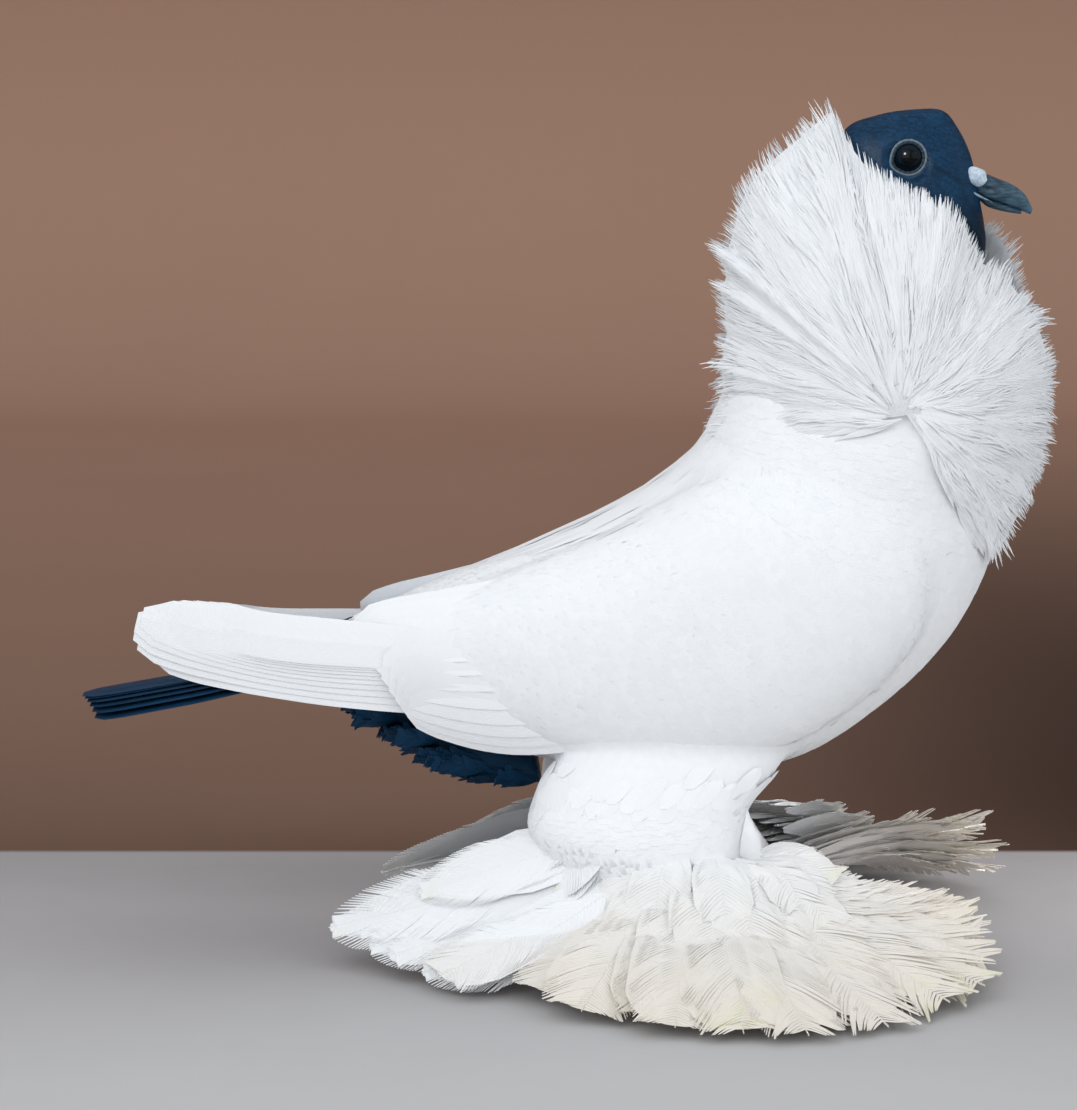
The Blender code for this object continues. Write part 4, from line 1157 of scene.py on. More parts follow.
class PIGEON_OT_tail(bpy.types.Operator):
    """Makes the twelve dark tail feathers and the loose feathers above and below their roots."""

    bl_idname = "pigeon.tail"
    bl_label = "Tail"

    def execute(self, context):
        colours = context.scene.pigeon_colours
        random = np.random.default_rng(7)
        moor = moor_finish("moor_tail", colours, 0.4)
        k = np.repeat(np.arange(6), 2)
        side = np.tile([-1.0, 1.0], 6)
        width = np.where(k > 0, 0.0060 + 0.0022 * k, 0.0120)
        outs = np.where(k > 0, 0.0003 + 0.22 * width, 0.0010)
        drop = np.array([0.0, 0.0006, 0.0013, 0.0023, 0.0036, 0.0052])[k] + 0.0003 * (side > 0)
        knots = np.stack([
            np.stack([np.full(12, -0.070), side * outs, 0.0892 - drop * 0.9], -1),
            np.stack([np.full(12, -0.105), side * outs * 1.9, 0.0820 - drop], -1),
            np.stack([-0.1435 + 0.0009 * k, side * outs * 2.0, 0.0752 - drop], -1),
        ], 1)
        face = np.stack([np.full(12, 0.12), side * 0.08, np.ones(12)], -1)[:, None]
        flight_piece("tail_feathers", knots, face, width, moor, random, (4, 3), ("tail",), "moor_feather",
                     0.00016)

        def root(u, v, lift=0.0):
            return rounded(TAIL_CORE, u, v, lift)

        places = row_places(root, np.arange(0.15, 2.3, 0.13), -np.pi, np.pi, 0.0040, random)
        laid_coat("tail_coverts", root, places, 0.0150, 0.0036, moor, tube_unwrap(0.05, 2.6), random,
                  slot="moor_feather", replaces=("tail",), low=-0.9, rise=0.0009, thick=0.00008, sway=0.08)
        self.undertail(moor, random)
        return {"FINISHED"}

    def undertail(self, moor, random):
        """A dark core and the loose feathers that hang from it, those behind shorter than those ahead."""
        u, v = turns(np.linspace(0, 3, 24), 40)
        rings = rounded(UNDERTAIL_CORE, u, v, np.full_like(u, -0.0010))
        make_piece("undertail_down", rings, flipped(closed_grid(rings)), moor, ("undertail",), "moor_feather",
                   {"Vane": np.stack([u, v], -1)})
        count = 84
        ahead = np.sort(random.uniform(0.1, 3.0, count) ** 0.8 * 3**0.2)[::-1]
        turn = np.pi + random.uniform(-1.25, 1.25, count)
        root = rounded(UNDERTAIL_CORE, ahead, turn, np.full(count, -0.0015))
        away = unit(rounded(UNDERTAIL_CORE, ahead, turn, np.full(count, 0.004)) - root)
        long = (random.uniform(0.011, 0.0165, count) * np.interp(ahead, [0, 1, 3], [0.7, 0.9, 1.05]))[:, None]
        drop = random.uniform(0.10, 0.34, count)[:, None]
        back = np.array([-1.0, 0.0, 0.30]) + away * (1, 1.0, 0.75) * drop
        middle = root + away * 0.0012 + unit(back) * long * 0.5
        knots = np.stack([root, middle, root + away * 0.0016 + back * long], 1)
        barbed_feathers(
            "undertail_coverts", knots, away[:, None], random.uniform(0.0075, 0.0105, count),
            random.uniform(0.7, 1.2, count), moor, random, (12, 7), barbs=13, group=3, angles=(46, 14),
            fat=0.00062, loose=0.0007, slot="moor_feather", replaces=("undertail",),
        )


class PIGEON_OT_mane(bpy.types.Operator):
    """Makes the mane: feathers of loose barbs that fan out from a rosette on each side of the neck."""

    bl_idname = "pigeon.mane"
    bl_label = "Mane"

    def execute(self, context):
        colours, coat = context.scene.pigeon_colours, context.scene.pigeon_coat
        white = feather_finish("white_mane", colours, 0.3, 0.2, 0.05)
        for side, word in SIDES:
            random = np.random.default_rng(11 + side)
            self.bed(side, word, colours)
            self.locks(side, word, white, random)
            layers = self.layers(side, int(coat.mane_feathers * (1.0 if side < 0 else FAR_SHARE)), random)
            for k, label in enumerate(("back", "front")):
                chosen = layers[(layers[:, 0] > MANE_PARTING) == (k == 0)]
                self.strands(f"mane_{label}_{word}", side, chosen, coat.mane_barbs, white, random)
        return {"FINISHED"}

    def bed(self, side, word, colours):
        """The down under the loose feathers: the mane's own surface, drawn in and closed behind."""
        made, place, inputs = new_finish("mane_down_" + word, Roughness=0.9, Sheen_Weight=0.2)
        x, _, z = split(place)
        turn = z.maths("ARCTAN2", z - (ROSETTE[1] + SHIFT[2]), x - (ROSETTE[0] + SHIFT[0]))
        streak = place.node("ShaderNodeTexNoise", {"noise_dimensions": "1D"},
                            {"W": turn + place.noise(25.0) * 0.06, "Scale": 60.0, "Detail": 4.0})
        feed(streak.mix(colours.white_shade, colours.white), inputs, "Base Color")
        bump(streak, inputs, 0.5, 0.0010)
        surface = mane_surface(side)
        angle = np.linspace(*MANE_ENDS, 150)
        way = np.concatenate([np.linspace(0.0, 0.93, 26), np.linspace(0.93, 0.0, 14)])
        under = np.concatenate([np.full(26, -0.0009), np.full(14, -0.0070)])
        a, s = np.meshgrid(angle, way, indexing="ij")
        rings = surface(a, s, np.broadcast_to(under, a.shape))
        rings[..., 1] = side * np.maximum(side * rings[..., 1], 0.0002)
        polygons = flipped(closed_grid(rings)) if side > 0 else closed_grid(rings)
        make_piece("mane_down_" + word, rings, polygons, made, ("neck_mane",), "white_feather")
        if side < 0:
            self.ridge(surface, made)

    def ridge(self, surface, made):
        """Down that closes the parting of the mane behind the head: a flat tube along the rim."""
        angle, turn = turns(np.linspace(*RIDGE_ENDS, 70), 24)
        narrow = np.interp(angle, [RIDGE_ENDS[0], 111, 180, RIDGE_ENDS[1]], [0.3, 1, 1, 0.3])
        wide = (rim_at(angle)[1] + 0.0030) * narrow
        rings = surface(angle, 0.87 + 0.075 * np.cos(turn))
        rings[..., 1] = wide * np.sin(turn)
        make_piece("mane_ridge", rings, closed_grid(rings), made, ("neck_mane",), "white_feather")

    def locks(self, side, word, white, random):
        """Flat pointed locks over the down, from the rosette out to the rim."""
        surface = mane_surface(side)
        count = LOCKS[side]
        angle = random.uniform(*MANE_ENDS, count)
        root = 0.03 + 0.66 * np.sqrt(random.uniform(0, 1, count))
        depth = random.uniform(0.0, 0.0005, count)
        length = rim_at(angle)[0] * np.minimum(random.uniform(0.26, 0.36, count), 1.0 - root)
        places = np.stack([root, angle], -1)

        def turned(share, spot, lift=0.0):
            return surface(spot + np.interp(spot, *MANE_DROOP) * share**2 + swirl(share), share, lift)

        laid_coat(
            "mane_locks_" + word, turned, places, length, 0.0013, white,
            lambda p: fan_unwrap(p[:, 0], p[:, 1], side), random, flow=1.0, turn=-side, shape=LOCK_SHAPE,
            sink=-0.0004, rise=0.0007, sway=0.09, thick=0.00018, camber=0.00016, depth=depth,
            slot="white_feather", replaces=("neck_mane",),
        )

    def layers(self, side, count, random):
        """Rows of angle, root share, end share, depth below the outer form, width."""
        over = int(count * 0.60)
        angle = random.uniform(*MANE_ENDS, over)
        root = 0.01 + 0.72 * np.sqrt(random.uniform(0, 1, over))
        end = root + random.uniform(0.24, 0.34, over)
        cheek = (angle > 54) & (angle < 101)
        end = np.minimum(end, np.where(cheek, random.uniform(0.96, 1.01, over), 1.06))
        depth = random.uniform(0.0, 0.0006, over)
        outer = np.stack([angle, root, end, depth, random.uniform(0.0030, 0.0050, over)], -1)
        under = count - over
        angle = random.uniform(*MANE_ENDS, under)
        end = random.uniform(0.94, 1.0, under) + 0.02 * random.uniform(0, 1, under) ** 4
        root = end - random.uniform(0.30, 0.42, under)
        depth = random.uniform(0.0, 0.0085, under) * np.where((angle > 45) & (angle < 112), 1.0, 0.5)
        rim = np.stack([angle, root, end, depth, random.uniform(0.0035, 0.0060, under)], -1)
        if side < 0:
            return np.concatenate([outer, rim])
        more = COLLAR_FEATHERS
        collar = random.uniform(34, 86, more)
        end = random.uniform(0.66, 1.0, more)
        depth = random.uniform(0.0, 0.0020, more) + np.where(np.arange(more) % 3, 0.0078, -0.0003)
        wide = random.uniform(0.0045, 0.0070, more)
        return np.concatenate([outer, rim, np.stack([collar, end - 0.34, end, depth, wide], -1)])

    def strands(self, name, side, rows, barbs, white, random):
        """A barb starts on its feather's shaft and ends in the feather's brush.

        The angle of a point is its feather's angle, plus its way across divided by the radius, plus a droop
        with the square of the way out, plus a pull towards the middle of its lock, a slow wave and the
        swirl. Its lift falls with its layer's depth and rises along the barb and on low ridges. All of it
        is laid on the mane's surface.
        """
        surface = mane_surface(side)
        steps = 5
        q = np.linspace(0, 1, steps)
        angle, root, end, depth, width = (rows[:, k][:, None, None] for k in range(5))
        each = (len(rows), barbs, 1)
        start = np.linspace(0.0, 0.55, barbs)[None, :, None] + random.uniform(-0.03, 0.03, each)
        stop = np.clip(start + random.uniform(0.45, 0.66, each), 0.5, 1.0)
        hand = np.where(np.arange(barbs) % 2, 1.0, -1.0)[None, :, None]
        along = start + (stop - start) * q
        bow = np.sin(np.clip(along, 0, 1) ** 0.8 * np.pi * 0.92) ** 0.6
        across = hand * width / 2 * q**0.85 * bow * random.uniform(0.2, 1.0, each)
        share = root + (end - root) * along
        way = np.clip(share, 0, 1.1)
        lock = 0.5 - 103.0 / MANE_LOCK
        tame = np.interp(angle, [48, 60, 97, 102], [1.0, 0.3, 0.3, 1.0])
        pull = 0.9 * tame * np.sin(2 * np.pi * (angle / MANE_LOCK + lock)) * along**2
        wave = 1.6 * tame * np.sin(9 * share + 0.21 * angle + random.uniform(-0.5, 0.5, (len(rows), 1, 1)))
        droop = np.interp(angle, *MANE_DROOP) * (way**2 - root**2)
        reach = rim_at(angle)[0]
        place = angle + np.degrees(across / (reach * np.maximum(share, 0.12))) + pull + wave + droop
        place = place + swirl(share) + random.normal(0, 0.4, each) * q
        ridges = 0.0006 * np.sin(2 * np.pi * place / MANE_LOCK * 0.5 + 1.7 * np.sin(place * 0.11))
        lift = -depth + ridges * way + 0.0003 + 0.0006 * along**2
        lift = lift + random.normal(0, 0.00012, each) * q
        place, share, lift = (np.broadcast_to(v, (len(rows), barbs, steps)).reshape(-1, steps)
                              for v in (place, share, lift))
        path = surface(place, share, lift)
        face = outward(surface, place, share, lift, float(side))
        fat = random.uniform(0.00020, 0.00034, len(path))[:, None] * np.array([0.7, 1.0, 0.95, 0.7, 0.15])
        points, polygons = blades(path, face, fat, fat * 0.8, STRAND)
        spot = fan_unwrap(share[:, 0], place[:, 0], side)
        tone = np.repeat(random.uniform(0.25, 0.95, len(rows)), barbs) + random.normal(0, 0.1, len(path))
        maps = {"OFBake": patches(spot, points, STRAND), "Vane": vane_map(points, fat, 0.02, STRAND)}
        marks = {"tone": spread_out(np.clip(tone, 0, 1), points)}
        make_piece(name, points, polygons, white, ("neck_mane",), "white_feather", maps, marks)


class PIGEON_OT_head(bpy.types.Operator):
    """Makes the head's small dark feathers, the eyes and the bare rings round them."""

    bl_idname = "pigeon.head"
    bl_label = "Head"

    def execute(self, context):
        colours, coat = context.scene.pigeon_colours, context.scene.pigeon_coat
        random = np.random.default_rng(13)
        moor = moor_finish("moor_head", colours, 0.15, True)
        rows = np.arange(0.1, 6.95, 0.105)
        places = row_places(head_surface, rows, -np.pi, np.pi, coat.head_pitch, random)
        spots = head_surface(places[:, 0], places[:, 1])
        eye = np.array([EYE_PLACE[0], 0.0, EYE_PLACE[1]])
        clear = np.linalg.norm((spots - eye) * (1, 0, 1), axis=1) > EYE_BARE
        low = (np.abs(places[:, 1]) > 2.9) & (places[:, 0] > 2.0)
        laid_coat(
            "head_coat", head_surface, places[clear & ~low], coat.head_length, 0.00080, moor,
            tube_unwrap(0.02, 7.3), random, slot="moor_feather", low=-0.4, sink=-0.00020, rise=0.00022,
            rough=0.00001, thick=0.00003, camber=0.00002, sway=0.08, shape=HEAD_SHAPE, profile=STRAND,
        )
        self.eyes()
        return {"FINISHED"}

    def eyes(self):
        """A glossy ball with a hardly lighter iris, the bare ring, and the dark lid inside it."""
        ball, place, inputs = new_finish("eye", Roughness=0.04, Specular_IOR_Level=0.13)
        x, _, z = split(place)
        across, up = x - (EYE_PLACE[0] + SHIFT[0]), z - (EYE_PLACE[1] + SHIFT[2])
        away = (across * across + up * up) ** 0.5
        iris = away.step(0.0021, 0.0024).mix((0.0006, 0.001, 0.002), (0.0022, 0.0070, 0.0130))
        feed(iris, inputs, "Base Color")
        lid, place, inputs = new_finish("eye_ring", Roughness=0.55, Specular_IOR_Level=0.3)
        grain = place.noise(1500.0)
        feed(grain.mix((0.05, 0.085, 0.115), (0.17, 0.235, 0.29)), inputs, "Base Color")
        bump(grain, inputs, 0.5, 0.0002)
        inner, place, inputs = new_finish("eye_lid", Roughness=0.6, Specular_IOR_Level=0.3)
        grain = place.noise(1500.0)
        feed(grain.mix((0.003, 0.010, 0.020), (0.008, 0.024, 0.045)), inputs, "Base Color")
        for side, word in SIDES:
            u, v = turns(np.linspace(0.01, math.pi - 0.01, 40), 64)
            unit_ball = np.stack([np.sin(u) * np.cos(v), -np.cos(u), np.sin(u) * np.sin(v)], -1)
            points = np.array([EYE_PLACE[0], side * EYE_DEPTH, EYE_PLACE[1]]) + EYE_RADIUS * unit_ball
            make_piece("eye_ball_" + word, points, flipped(closed_grid(points)), ball, ("eye_" + word,),
                       "eye_gloss")
            self.lid("eye_ring_" + word, side, 0.00505, 0.00038, 0.00262, lid)
            self.lid("eye_lid_" + word, side, 0.00440, 0.00056, 0.00212, inner)

    def lid(self, name, side, radius, fat, out, material):
        """A ring round the eye: an uneven tube, whose radius from the eye's middle grows at the rear."""
        u, v = turns(np.linspace(0, 2 * np.pi, 96, endpoint=False), 14)
        rear = np.exp(-((np.angle(np.exp(1j * (u - math.radians(205)))) / 0.40) ** 2))
        fat = fat * (1 + 0.10 * np.sin(19 * u) + 0.07 * np.sin(31 * u + 1.0))
        flat = np.stack([np.cos(u), 0 * u, np.sin(u)], -1)
        out_by = radius + 0.0006 * rear + fat * np.cos(v)
        ring = np.array([EYE_PLACE[0], 0.0, EYE_PLACE[1]]) + flat * out_by[..., None]
        ring[..., 1] = side * (EYE_DEPTH + out + fat * 0.9 * np.sin(v))
        index = np.arange(u.size).reshape(u.shape)
        after = np.roll(index, -1, 0)
        quads = [np.stack([index, after, np.roll(after, -1, 1), np.roll(index, -1, 1)], -1).reshape(-1, 4)]
        make_piece(name, ring, quads if side > 0 else flipped(quads), material)


class PIGEON_OT_bill(bpy.types.Operator):
    """Makes both halves of the bill, the pale edge of the gape, and the cere in two lobes over its root."""

    bl_idname = "pigeon.bill"
    bl_label = "Bill and cere"

    def execute(self, context):
        colours = context.scene.pigeon_colours
        horn, place, inputs = new_finish("horn", Roughness=0.4, Specular_IOR_Level=0.35)
        grain = place.node("ShaderNodeTexNoise", {}, {
            "Vector": place.node("ShaderNodeMapping", {}, {"Vector": place, "Scale": (300.0, 900.0, 1500.0)}),
            "Scale": 1.0, "Detail": 3.0})
        tip = split(place)[0].step(0.128 + SHIFT[0], 0.139 + SHIFT[0])
        body = (grain.step(0.35, 0.75) * 0.7 + tip * 0.35).mix(colours.horn, (0.055, 0.13, 0.19))
        feed(body, inputs, "Base Color")
        feed(grain * 0.25 + 0.3, inputs, "Roughness")
        bump(grain, inputs, 0.25, 0.0002)
        cosine, sine = math.cos(BILL_SLOPE), math.sin(BILL_SLOPE)
        for name, rows in (("bill_upper", UPPER_BILL), ("bill_lower", LOWER_BILL)):
            u, v = turns(np.linspace(0, len(rows) - 1, 60), 48)
            lift = np.zeros_like(u)
            if name == "bill_upper":
                lip = np.exp(-(((np.abs(np.angle(np.exp(1j * v))) - 2.35) / 0.16) ** 2))
                lift = 0.00028 * lip * np.clip(u / 1.2, 0, 1) * np.clip((6 - u) / 2, 0, 1)
            rings = rounded(rows, u, v, lift, 2.0)
            if name == "bill_upper":
                for side in (-1, 1):
                    slit = rings - np.array([NOSTRIL[0], side * NOSTRIL[1], NOSTRIL[2]])
                    along = slit[..., 0] * cosine - slit[..., 2] * sine
                    rise = slit[..., 0] * sine + slit[..., 2] * cosine
                    near = np.exp(-((along / 0.0017) ** 2) - (rise / 0.0005) ** 2)
                    rings[..., 1] -= side * 0.0009 * near * (rings[..., 1] * side > 0)
            make_piece(name + "_horn", rings, closed_grid(rings), horn, (name,), "horn")
        self.cere(colours)
        self.gape()
        return {"FINISHED"}

    def gape(self):
        """The pale bare edge from the cere down to the corner of the bill, a thin tube on each side."""
        pale, place, inputs = new_finish("gape_edge", Roughness=0.6, Specular_IOR_Level=0.3)
        grain = place.noise(900.0)
        feed(grain.step(0.35, 0.65).mix((0.10, 0.17, 0.23), (0.26, 0.36, 0.44)), inputs, "Base Color")
        around = np.linspace(0, 2 * np.pi, 10, endpoint=False)
        fat = 0.00042 * np.interp(np.linspace(0, 1, 24), [0, 0.2, 0.6, 1.0], [0.4, 1.0, 0.9, 0.2])
        tubes = []
        for side in (-1, 1):
            knots = np.array([[(0.1186, 0.0062, 0.2270), (0.1212, 0.0054, 0.2253), (0.1238, 0.0043, 0.2240),
                               (0.1270, 0.0036, 0.2226)]]) * (1, side, 1)
            path = curve_paths(knots, 24)
            across, up = frames(path, np.array([0.0, side * 1.0, 0.2]))
            round_it = np.cos(around)[:, None] * up[0][:, None] - np.sin(around)[:, None] * across[0][:, None]
            tubes.append(path[0][:, None] + fat[:, None, None] * round_it)
        make_piece("gape_edges", *joined(tubes), pale)

    def cere(self, colours):
        """Two uneven lobes and a smooth one between them, merged into one powdery body."""
        powder, place, inputs = new_finish("cere", Roughness=0.85, Sheen_Weight=0.2, Specular_IOR_Level=0.2)
        grain = place.noise(1400.0, 3.0)
        feed(grain.step(0.3, 0.7).mix((0.42, 0.53, 0.64), colours.cere), inputs, "Base Color")
        bump(grain, inputs, 0.6, 0.0002)
        lobes = []
        u, v = turns(np.linspace(0.02, math.pi - 0.02, 30), 40)
        cosine, sine = math.cos(BILL_SLOPE), math.sin(BILL_SLOPE)
        for side in (-1, 0, 1):
            ball = np.stack([-np.cos(u), np.sin(u) * np.cos(v), np.sin(u) * np.sin(v)], -1) * CERE_HALF
            ball *= 1 + 0.05 * np.sin(5 * u + 2 * v)[..., None] * (abs(side) > 0)
            turned = np.stack([ball[..., 0] * cosine + ball[..., 2] * sine, ball[..., 1],
                               ball[..., 2] * cosine - ball[..., 0] * sine], -1)
            lobes.append(turned + np.array([CERE_PLACE[0], side * CERE_SPREAD, CERE_PLACE[1]]))
        cere = make_piece("cere_lobes", *joined(lobes), powder, ("cere",), "cere_skin")
        settled(cere, (
            ("REMESH", {"mode": "VOXEL", "voxel_size": 0.00016, "use_smooth_shade": True}),
            ("SMOOTH", {"factor": 0.5, "iterations": 4}),
        ))


class PIGEON_OT_feet(bpy.types.Operator):
    """Makes the fans of foot feathers, the toes with their scutes, and the claws."""

    bl_idname = "pigeon.feet"
    bl_label = "Feet"

    def execute(self, context):
        colours, coat = context.scene.pigeon_colours, context.scene.pigeon_coat
        worn = worn_finish("foot_feather", colours)
        for side, word in SIDES:
            random = np.random.default_rng(17 + side)
            for tier, row in enumerate(MUFF_TIERS):
                self.tier(f"muff_{tier}_{word}", side, row, coat.muff_barbs, worn, random, "muff_" + word)
            knots = np.array(HEEL_VANES)[:, :9].reshape(-1, 3, 3) * (1, side, 1) + (STRIDE * (side > 0), 0, 0)
            same = np.ones(len(knots))
            barbed_feathers(
                "muff_heel_" + word, knots, np.array([0.05, side * 0.80, 1.0]), np.array(HEEL_VANES)[:, 9],
                same * 0.05, worn, random, (3, 2), barbs=64, group=4, angles=(44, 12), fat=0.00045,
                thick=0.00022, loose=0.0008, camber=2.0, warm=same * 0.12, stain=same * 0.25,
                lean=same * 0.95, slot="cream_feather", replaces=("muff_" + word,), floor=0.0006,
            )
            self.toes(side, word, colours)
        return {"FINISHED"}

    def tier(self, name, side, row, barbs, worn, random, node):
        """One layer of the fan: feathers spread along the fan's rows, from the hock to the toes."""
        length, lift, count, width, density = row
        place = np.linspace(0, 1, count) + random.normal(0, 0.012, count)
        place = np.clip(place, 0, 1)
        fan = through(MUFF_FAN, place * (len(MUFF_FAN) - 1))
        root = fan[:, :3] + np.array([0, 0, lift])
        gaps = sum(deep * np.exp(-(((place - at) / wide) ** 2)) for at, deep, wide in MUFF_GAPS)
        behind = np.clip(1 - (place - 0.10) / 0.14, 0, 1)
        reach = (length * random.uniform(0.91, 0.99, count) * (1 - gaps))[:, None]
        reach = reach + (length * 0.93 - reach) * behind[:, None]
        tip = root + (fan[:, 3:] - root) * reach
        tip[:, 2] = fan[:, 5] + lift * (1.10 - 0.9 * length) + random.uniform(-0.0006, 0.0012, count)
        if side > 0:
            tip[:, 2] += 0.016 * np.clip((place - 0.86) / 0.14, 0, 1) * length
        away = tip - root
        root[:, :2] -= away[:, :2] * 0.08
        tip[:, 2] += np.interp(place, [0, 0.2, 0.4, 0.85, 1], [0.001, 0.001, 0, 0.001, 0.003])
        bow = np.interp(place, [0, 0.2, 0.45, 0.8, 1], [-0.006, -0.002, 0.003, 0.003, 0.000])
        middle = (root + tip) / 2 + np.stack([0 * place, 0 * place, bow + 0.003 * length], -1)
        knots = np.stack([root, middle, tip], 1) * (1, side, 1) + (STRIDE * (side > 0), 0, 0)
        flat = away * (1, side, 0)
        twist = np.interp(place, [0, 0.25, 0.5, 0.75, 1], [0.50, 0.35, 0.1, 0.3, 0.55])[:, None]
        face = np.array([0.0, 0.0, 1.0]) + unit(flat) * 0.18 + twist * np.array([0.0, side, 0.0])
        face = face + random.normal(0, 0.05, (count, 3))
        ahead = np.clip((place - 0.45) / 0.3, 0, 1)
        fray = np.clip(0.12 + 0.85 * ahead - 0.2 * behind, 0.0, 1.2) * min(1.0, 0.3 + length)
        warm = np.clip(0.15 + 1.1 * np.clip((place - 0.18) / 0.2, 0, 1), 0, 1) * min(1.0, 0.15 + length)
        width = width * (1 - 0.28 * behind) * random.uniform(0.9, 1.12, count)
        stain = (random.uniform(0, 1, count) < 0.4) * random.uniform(0.2, 0.8, count) * (1 - behind)
        barbed_feathers(
            name, knots, face[:, None], width, fray, worn, random, (6, 4), barbs=int(barbs * density),
            group=4, angles=(50, 14), fat=0.00045, thick=0.00022, loose=0.0009, camber=3.0, stain=stain,
            warm=warm, lean=behind, slot="cream_feather", replaces=(node,), floor=0.0006,
        )

    def toes(self, side, word, colours):
        """Toes as tubes with scutes along them, and a claw that curves down from each."""
        skin, place, inputs = new_finish("toe_skin_" + word, Roughness=0.55)
        cells = place.node("ShaderNodeTexVoronoi", {"feature": "DISTANCE_TO_EDGE"},
                           {"Vector": place, "Scale": 700.0})
        rim = cells.step(0.02, 0.16)
        feed(rim.mix((0.30, 0.08, 0.07), colours.toe), inputs, "Base Color")
        bump(rim, inputs, 0.5, 0.0003)
        claw, place, inputs = new_finish("claw_" + word, Roughness=0.35)
        feed(place.noise(900.0).mix((0.10, 0.08, 0.07), (0.30, 0.25, 0.20)), inputs, "Base Color")
        hub = np.array([FOOT_PLACE[0] + STRIDE * 0.9 * (side > 0), side * FOOT_PLACE[1], 0.0])
        around = np.linspace(0, 2 * np.pi, 20, endpoint=False)[None, :, None]
        toes, claws = [], []
        for angle, length in TOES:
            turn = math.radians(angle)
            ahead = np.array([math.cos(turn), side * math.sin(turn), 0.0])
            wide = np.array([-ahead[1], ahead[0], 0.0])
            upright = np.sin(around) * np.array([0, 0, 1.0])
            share = np.linspace(0, 1, 48)
            radius = TOE_RADIUS * np.interp(share, [0, 0.6, 0.94, 1], [1.05, 0.9, 0.74, 0.35])
            radius = radius * (1 + 0.05 * np.abs(np.sin(share * math.pi * 9)))
            middle = hub + np.outer(share * length, ahead)
            middle[:, 2] = radius * 0.82
            toes.append(middle[:, None] + radius[:, None, None] * (np.cos(around) * wide + upright))
            share = np.linspace(0, 1, 20)
            radius = 0.0015 * (1 - 0.85 * share)
            middle = hub + np.outer(length - 0.0012 + share * 0.0066, ahead)
            middle[:, 2] = 0.0028 + 0.0011 * np.sin(share * math.pi * 0.8) - 0.0016 * share**2
            claws.append(middle[:, None] + radius[:, None, None] * (np.cos(around) * wide * 0.8 + upright))
        make_piece("toes_" + word, *joined(toes), skin, ("foot_" + word,), "toe_skin", floor=0.0)
        make_piece("claws_" + word, *joined(claws), claw, (), "horn", floor=0.0)


def facing(spot, aim):
    """The turn of a lamp or camera that stands at a spot and looks at an aim."""
    return (aim - spot).to_track_quat("-Z", "Y").to_euler()


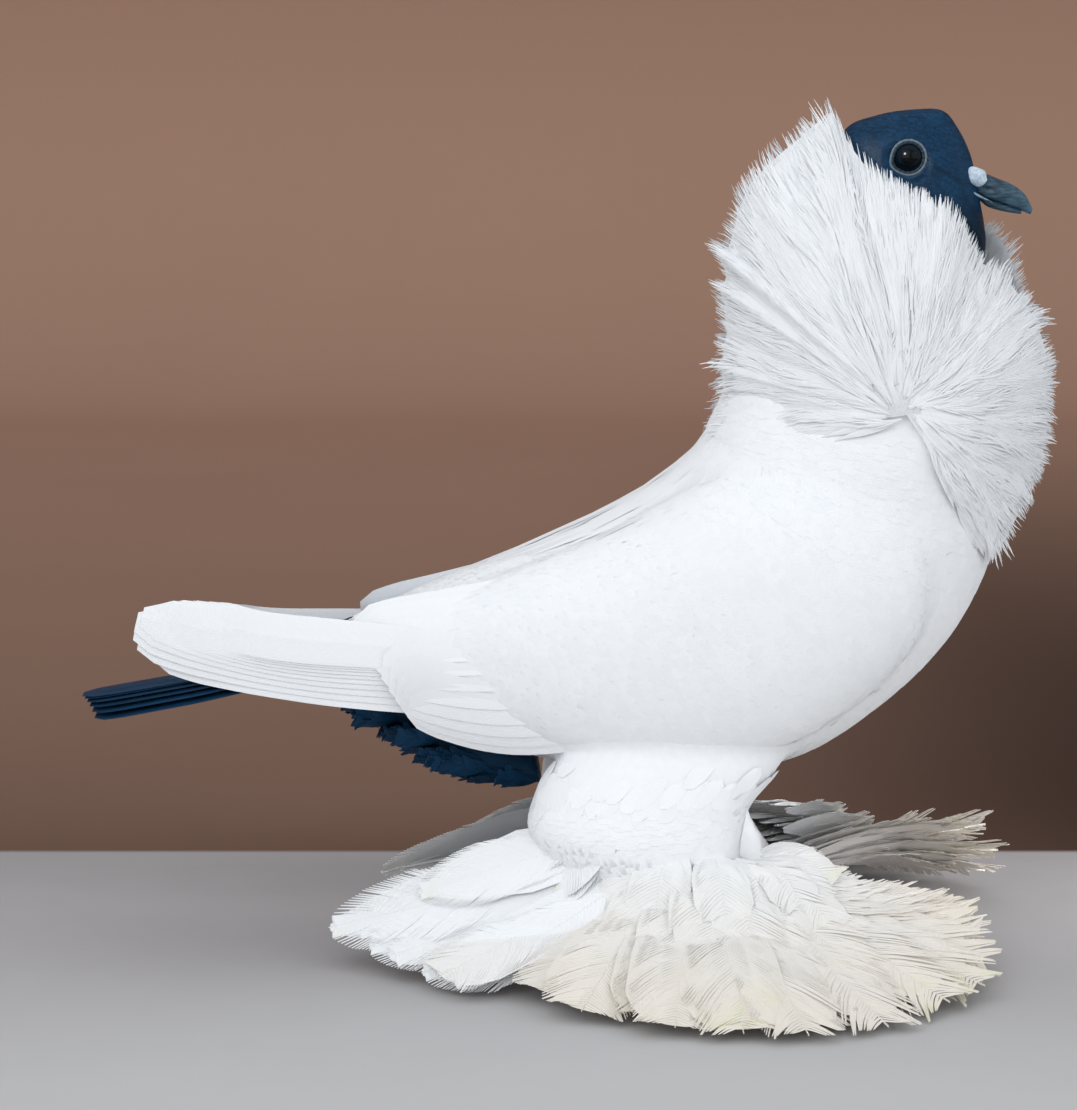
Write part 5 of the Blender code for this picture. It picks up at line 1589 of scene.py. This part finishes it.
class PIGEON_OT_studio(bpy.types.Operator):
    """Makes the pale floor that sweeps up into a backdrop with a painted shadow to the right and low down,
    the soft lights and the camera.
    """

    bl_idname = "pigeon.studio"
    bl_label = "Studio"

    def execute(self, context):
        studio = context.scene.pigeon_studio
        made, place, inputs = new_finish("sweep", Roughness=0.9, Specular_IOR_Level=0.1)
        x, y, z = split(place)
        grain = place.noise(6.0) * 0.3 + place.noise(60.0) * 0.1
        pale = ((0.11 - y) * 3.7 + grain - 0.2).mix((0.350, 0.332, 0.338), (0.530, 0.526, 0.528))
        back = y + z
        rise = (back.most(0.0) * 0.476) ** 0.45
        wall = (rise + grain * 0.2 - 0.05).mix((0.046, 0.023, 0.0155), (0.42, 0.255, 0.185))
        # Painted shadow of the bird: the backdrop goes darker to the right and low down.
        painted_shadow = x.step(-0.04, 0.24) * (1.0 - back.step(0.2, 1.7)) * 0.92
        wall = painted_shadow.mix(wall, (0.036, 0.0195, 0.0150))
        feed(y.step(0.111, 0.117).mix(pale, wall), inputs, "Base Color")
        turn = np.linspace(0, np.pi / 2, 24)
        depth = np.concatenate([[-2.4], 1.60 + 0.35 * np.sin(turn), [1.95]])
        height = np.concatenate([[0.0], 0.35 - 0.35 * np.cos(turn), [2.6]])
        x = np.array([-2.8, 2.8])
        points = np.stack(np.broadcast_arrays(x[None, :], depth[:, None], height[:, None]), -1).reshape(-1, 3)
        index = np.arange(len(points)).reshape(-1, 2)
        quads = np.stack([index[:-1, 0], index[:-1, 1], index[1:, 1], index[1:, 0]], -1)
        mesh = bpy.data.meshes.new("sweep")
        mesh.from_pydata(points.tolist(), [], quads.tolist())
        mesh.shade_smooth()
        mesh.materials.append(made)
        sweep = bpy.data.objects.new("sweep", mesh)
        context.scene.collection.objects.link(sweep)
        middle = (0.0, 0.0, 0.12)
        # Name, place, aim, power and size of each lamp. "low" only reaches the far foot's feathers.
        for name, spot, aim, power, size in (
            ("key", (-0.60, -1.65, 1.05), middle, studio.key, 2.0),
            ("fill", (1.2, -1.1, 0.7), middle, studio.fill, 1.2),
            ("top", (-0.2, 0.2, 1.6), middle, studio.fill * 0.3, 1.4),
            ("low", (0.50, -0.10, 0.10), (0.13, 0.08, 0.02), studio.fill * 0.027, 0.1),
            ("spark", (-0.62, -1.30, 1.00), middle, studio.spark, 0.42),
        ):
            data = bpy.data.lights.new(name, "AREA")
            data.energy, data.size = power, size
            data.spread = math.radians(34 if name == "low" else 180)
            lamp = bpy.data.objects.new(name, data)
            lamp.location = spot
            lamp.rotation_euler = facing(Vector(spot), Vector(aim))
            lamp.visible_diffuse = name != "spark"
            context.scene.collection.objects.link(lamp)
        world = bpy.data.worlds.new("room")
        world.use_nodes = True
        world.node_tree.nodes["Background"].inputs["Color"].default_value = (0.92, 0.96, 1.0, 1.0)
        world.node_tree.nodes["Background"].inputs["Strength"].default_value = studio.ambient
        context.scene.world = world
        context.scene.view_settings.view_transform = "Standard"
        data = bpy.data.cameras.new("camera")
        data.lens, data.sensor_width = CAMERA_LENS, 36.0
        camera = bpy.data.objects.new("camera", data)
        spot, aim = (Vector(ends) + Vector((SHIFT[0], 0, 0)) for ends in (CAMERA_PLACE, CAMERA_AIM))
        camera.location = spot
        camera.rotation_euler = facing(spot, aim)
        context.scene.collection.objects.link(camera)
        context.scene.camera = camera
        return {"FINISHED"}


STEPS = (
    PIGEON_OT_skin, PIGEON_OT_body_coat, PIGEON_OT_wings, PIGEON_OT_tail, PIGEON_OT_mane, PIGEON_OT_head,
    PIGEON_OT_bill, PIGEON_OT_feet, PIGEON_OT_studio,
)


class PIGEON_PT_panel(bpy.types.Panel):
    """Lists the pieces of the pigeon and their settings."""

    bl_label = "Pigeon"
    bl_idname = "PIGEON_PT_panel"
    bl_space_type = "VIEW_3D"
    bl_region_type = "UI"
    bl_category = "Pigeon"

    def draw(self, context):
        for step in STEPS:
            self.layout.operator(step.bl_idname)
        for group in (context.scene.pigeon_colours, context.scene.pigeon_coat, context.scene.pigeon_studio):
            for key in group.__annotations__:
                self.layout.prop(group, key)


GROUPS = {"pigeon_colours": PigeonColours, "pigeon_coat": PigeonCoat, "pigeon_studio": PigeonStudio}


def register():
    for made in (*GROUPS.values(), *STEPS, PIGEON_PT_panel):
        bpy.utils.register_class(made)
    for name, group in GROUPS.items():
        setattr(bpy.types.Scene, name, bpy.props.PointerProperty(type=group))


def unregister():
    for name in GROUPS:
        delattr(bpy.types.Scene, name)
    for made in reversed((*GROUPS.values(), *STEPS, PIGEON_PT_panel)):
        bpy.utils.unregister_class(made)


def main():
    register()
    for step in STEPS:
        family, name = step.bl_idname.split(".")
        getattr(getattr(bpy.ops, family), name)()


if __name__ == "__main__":
    main()
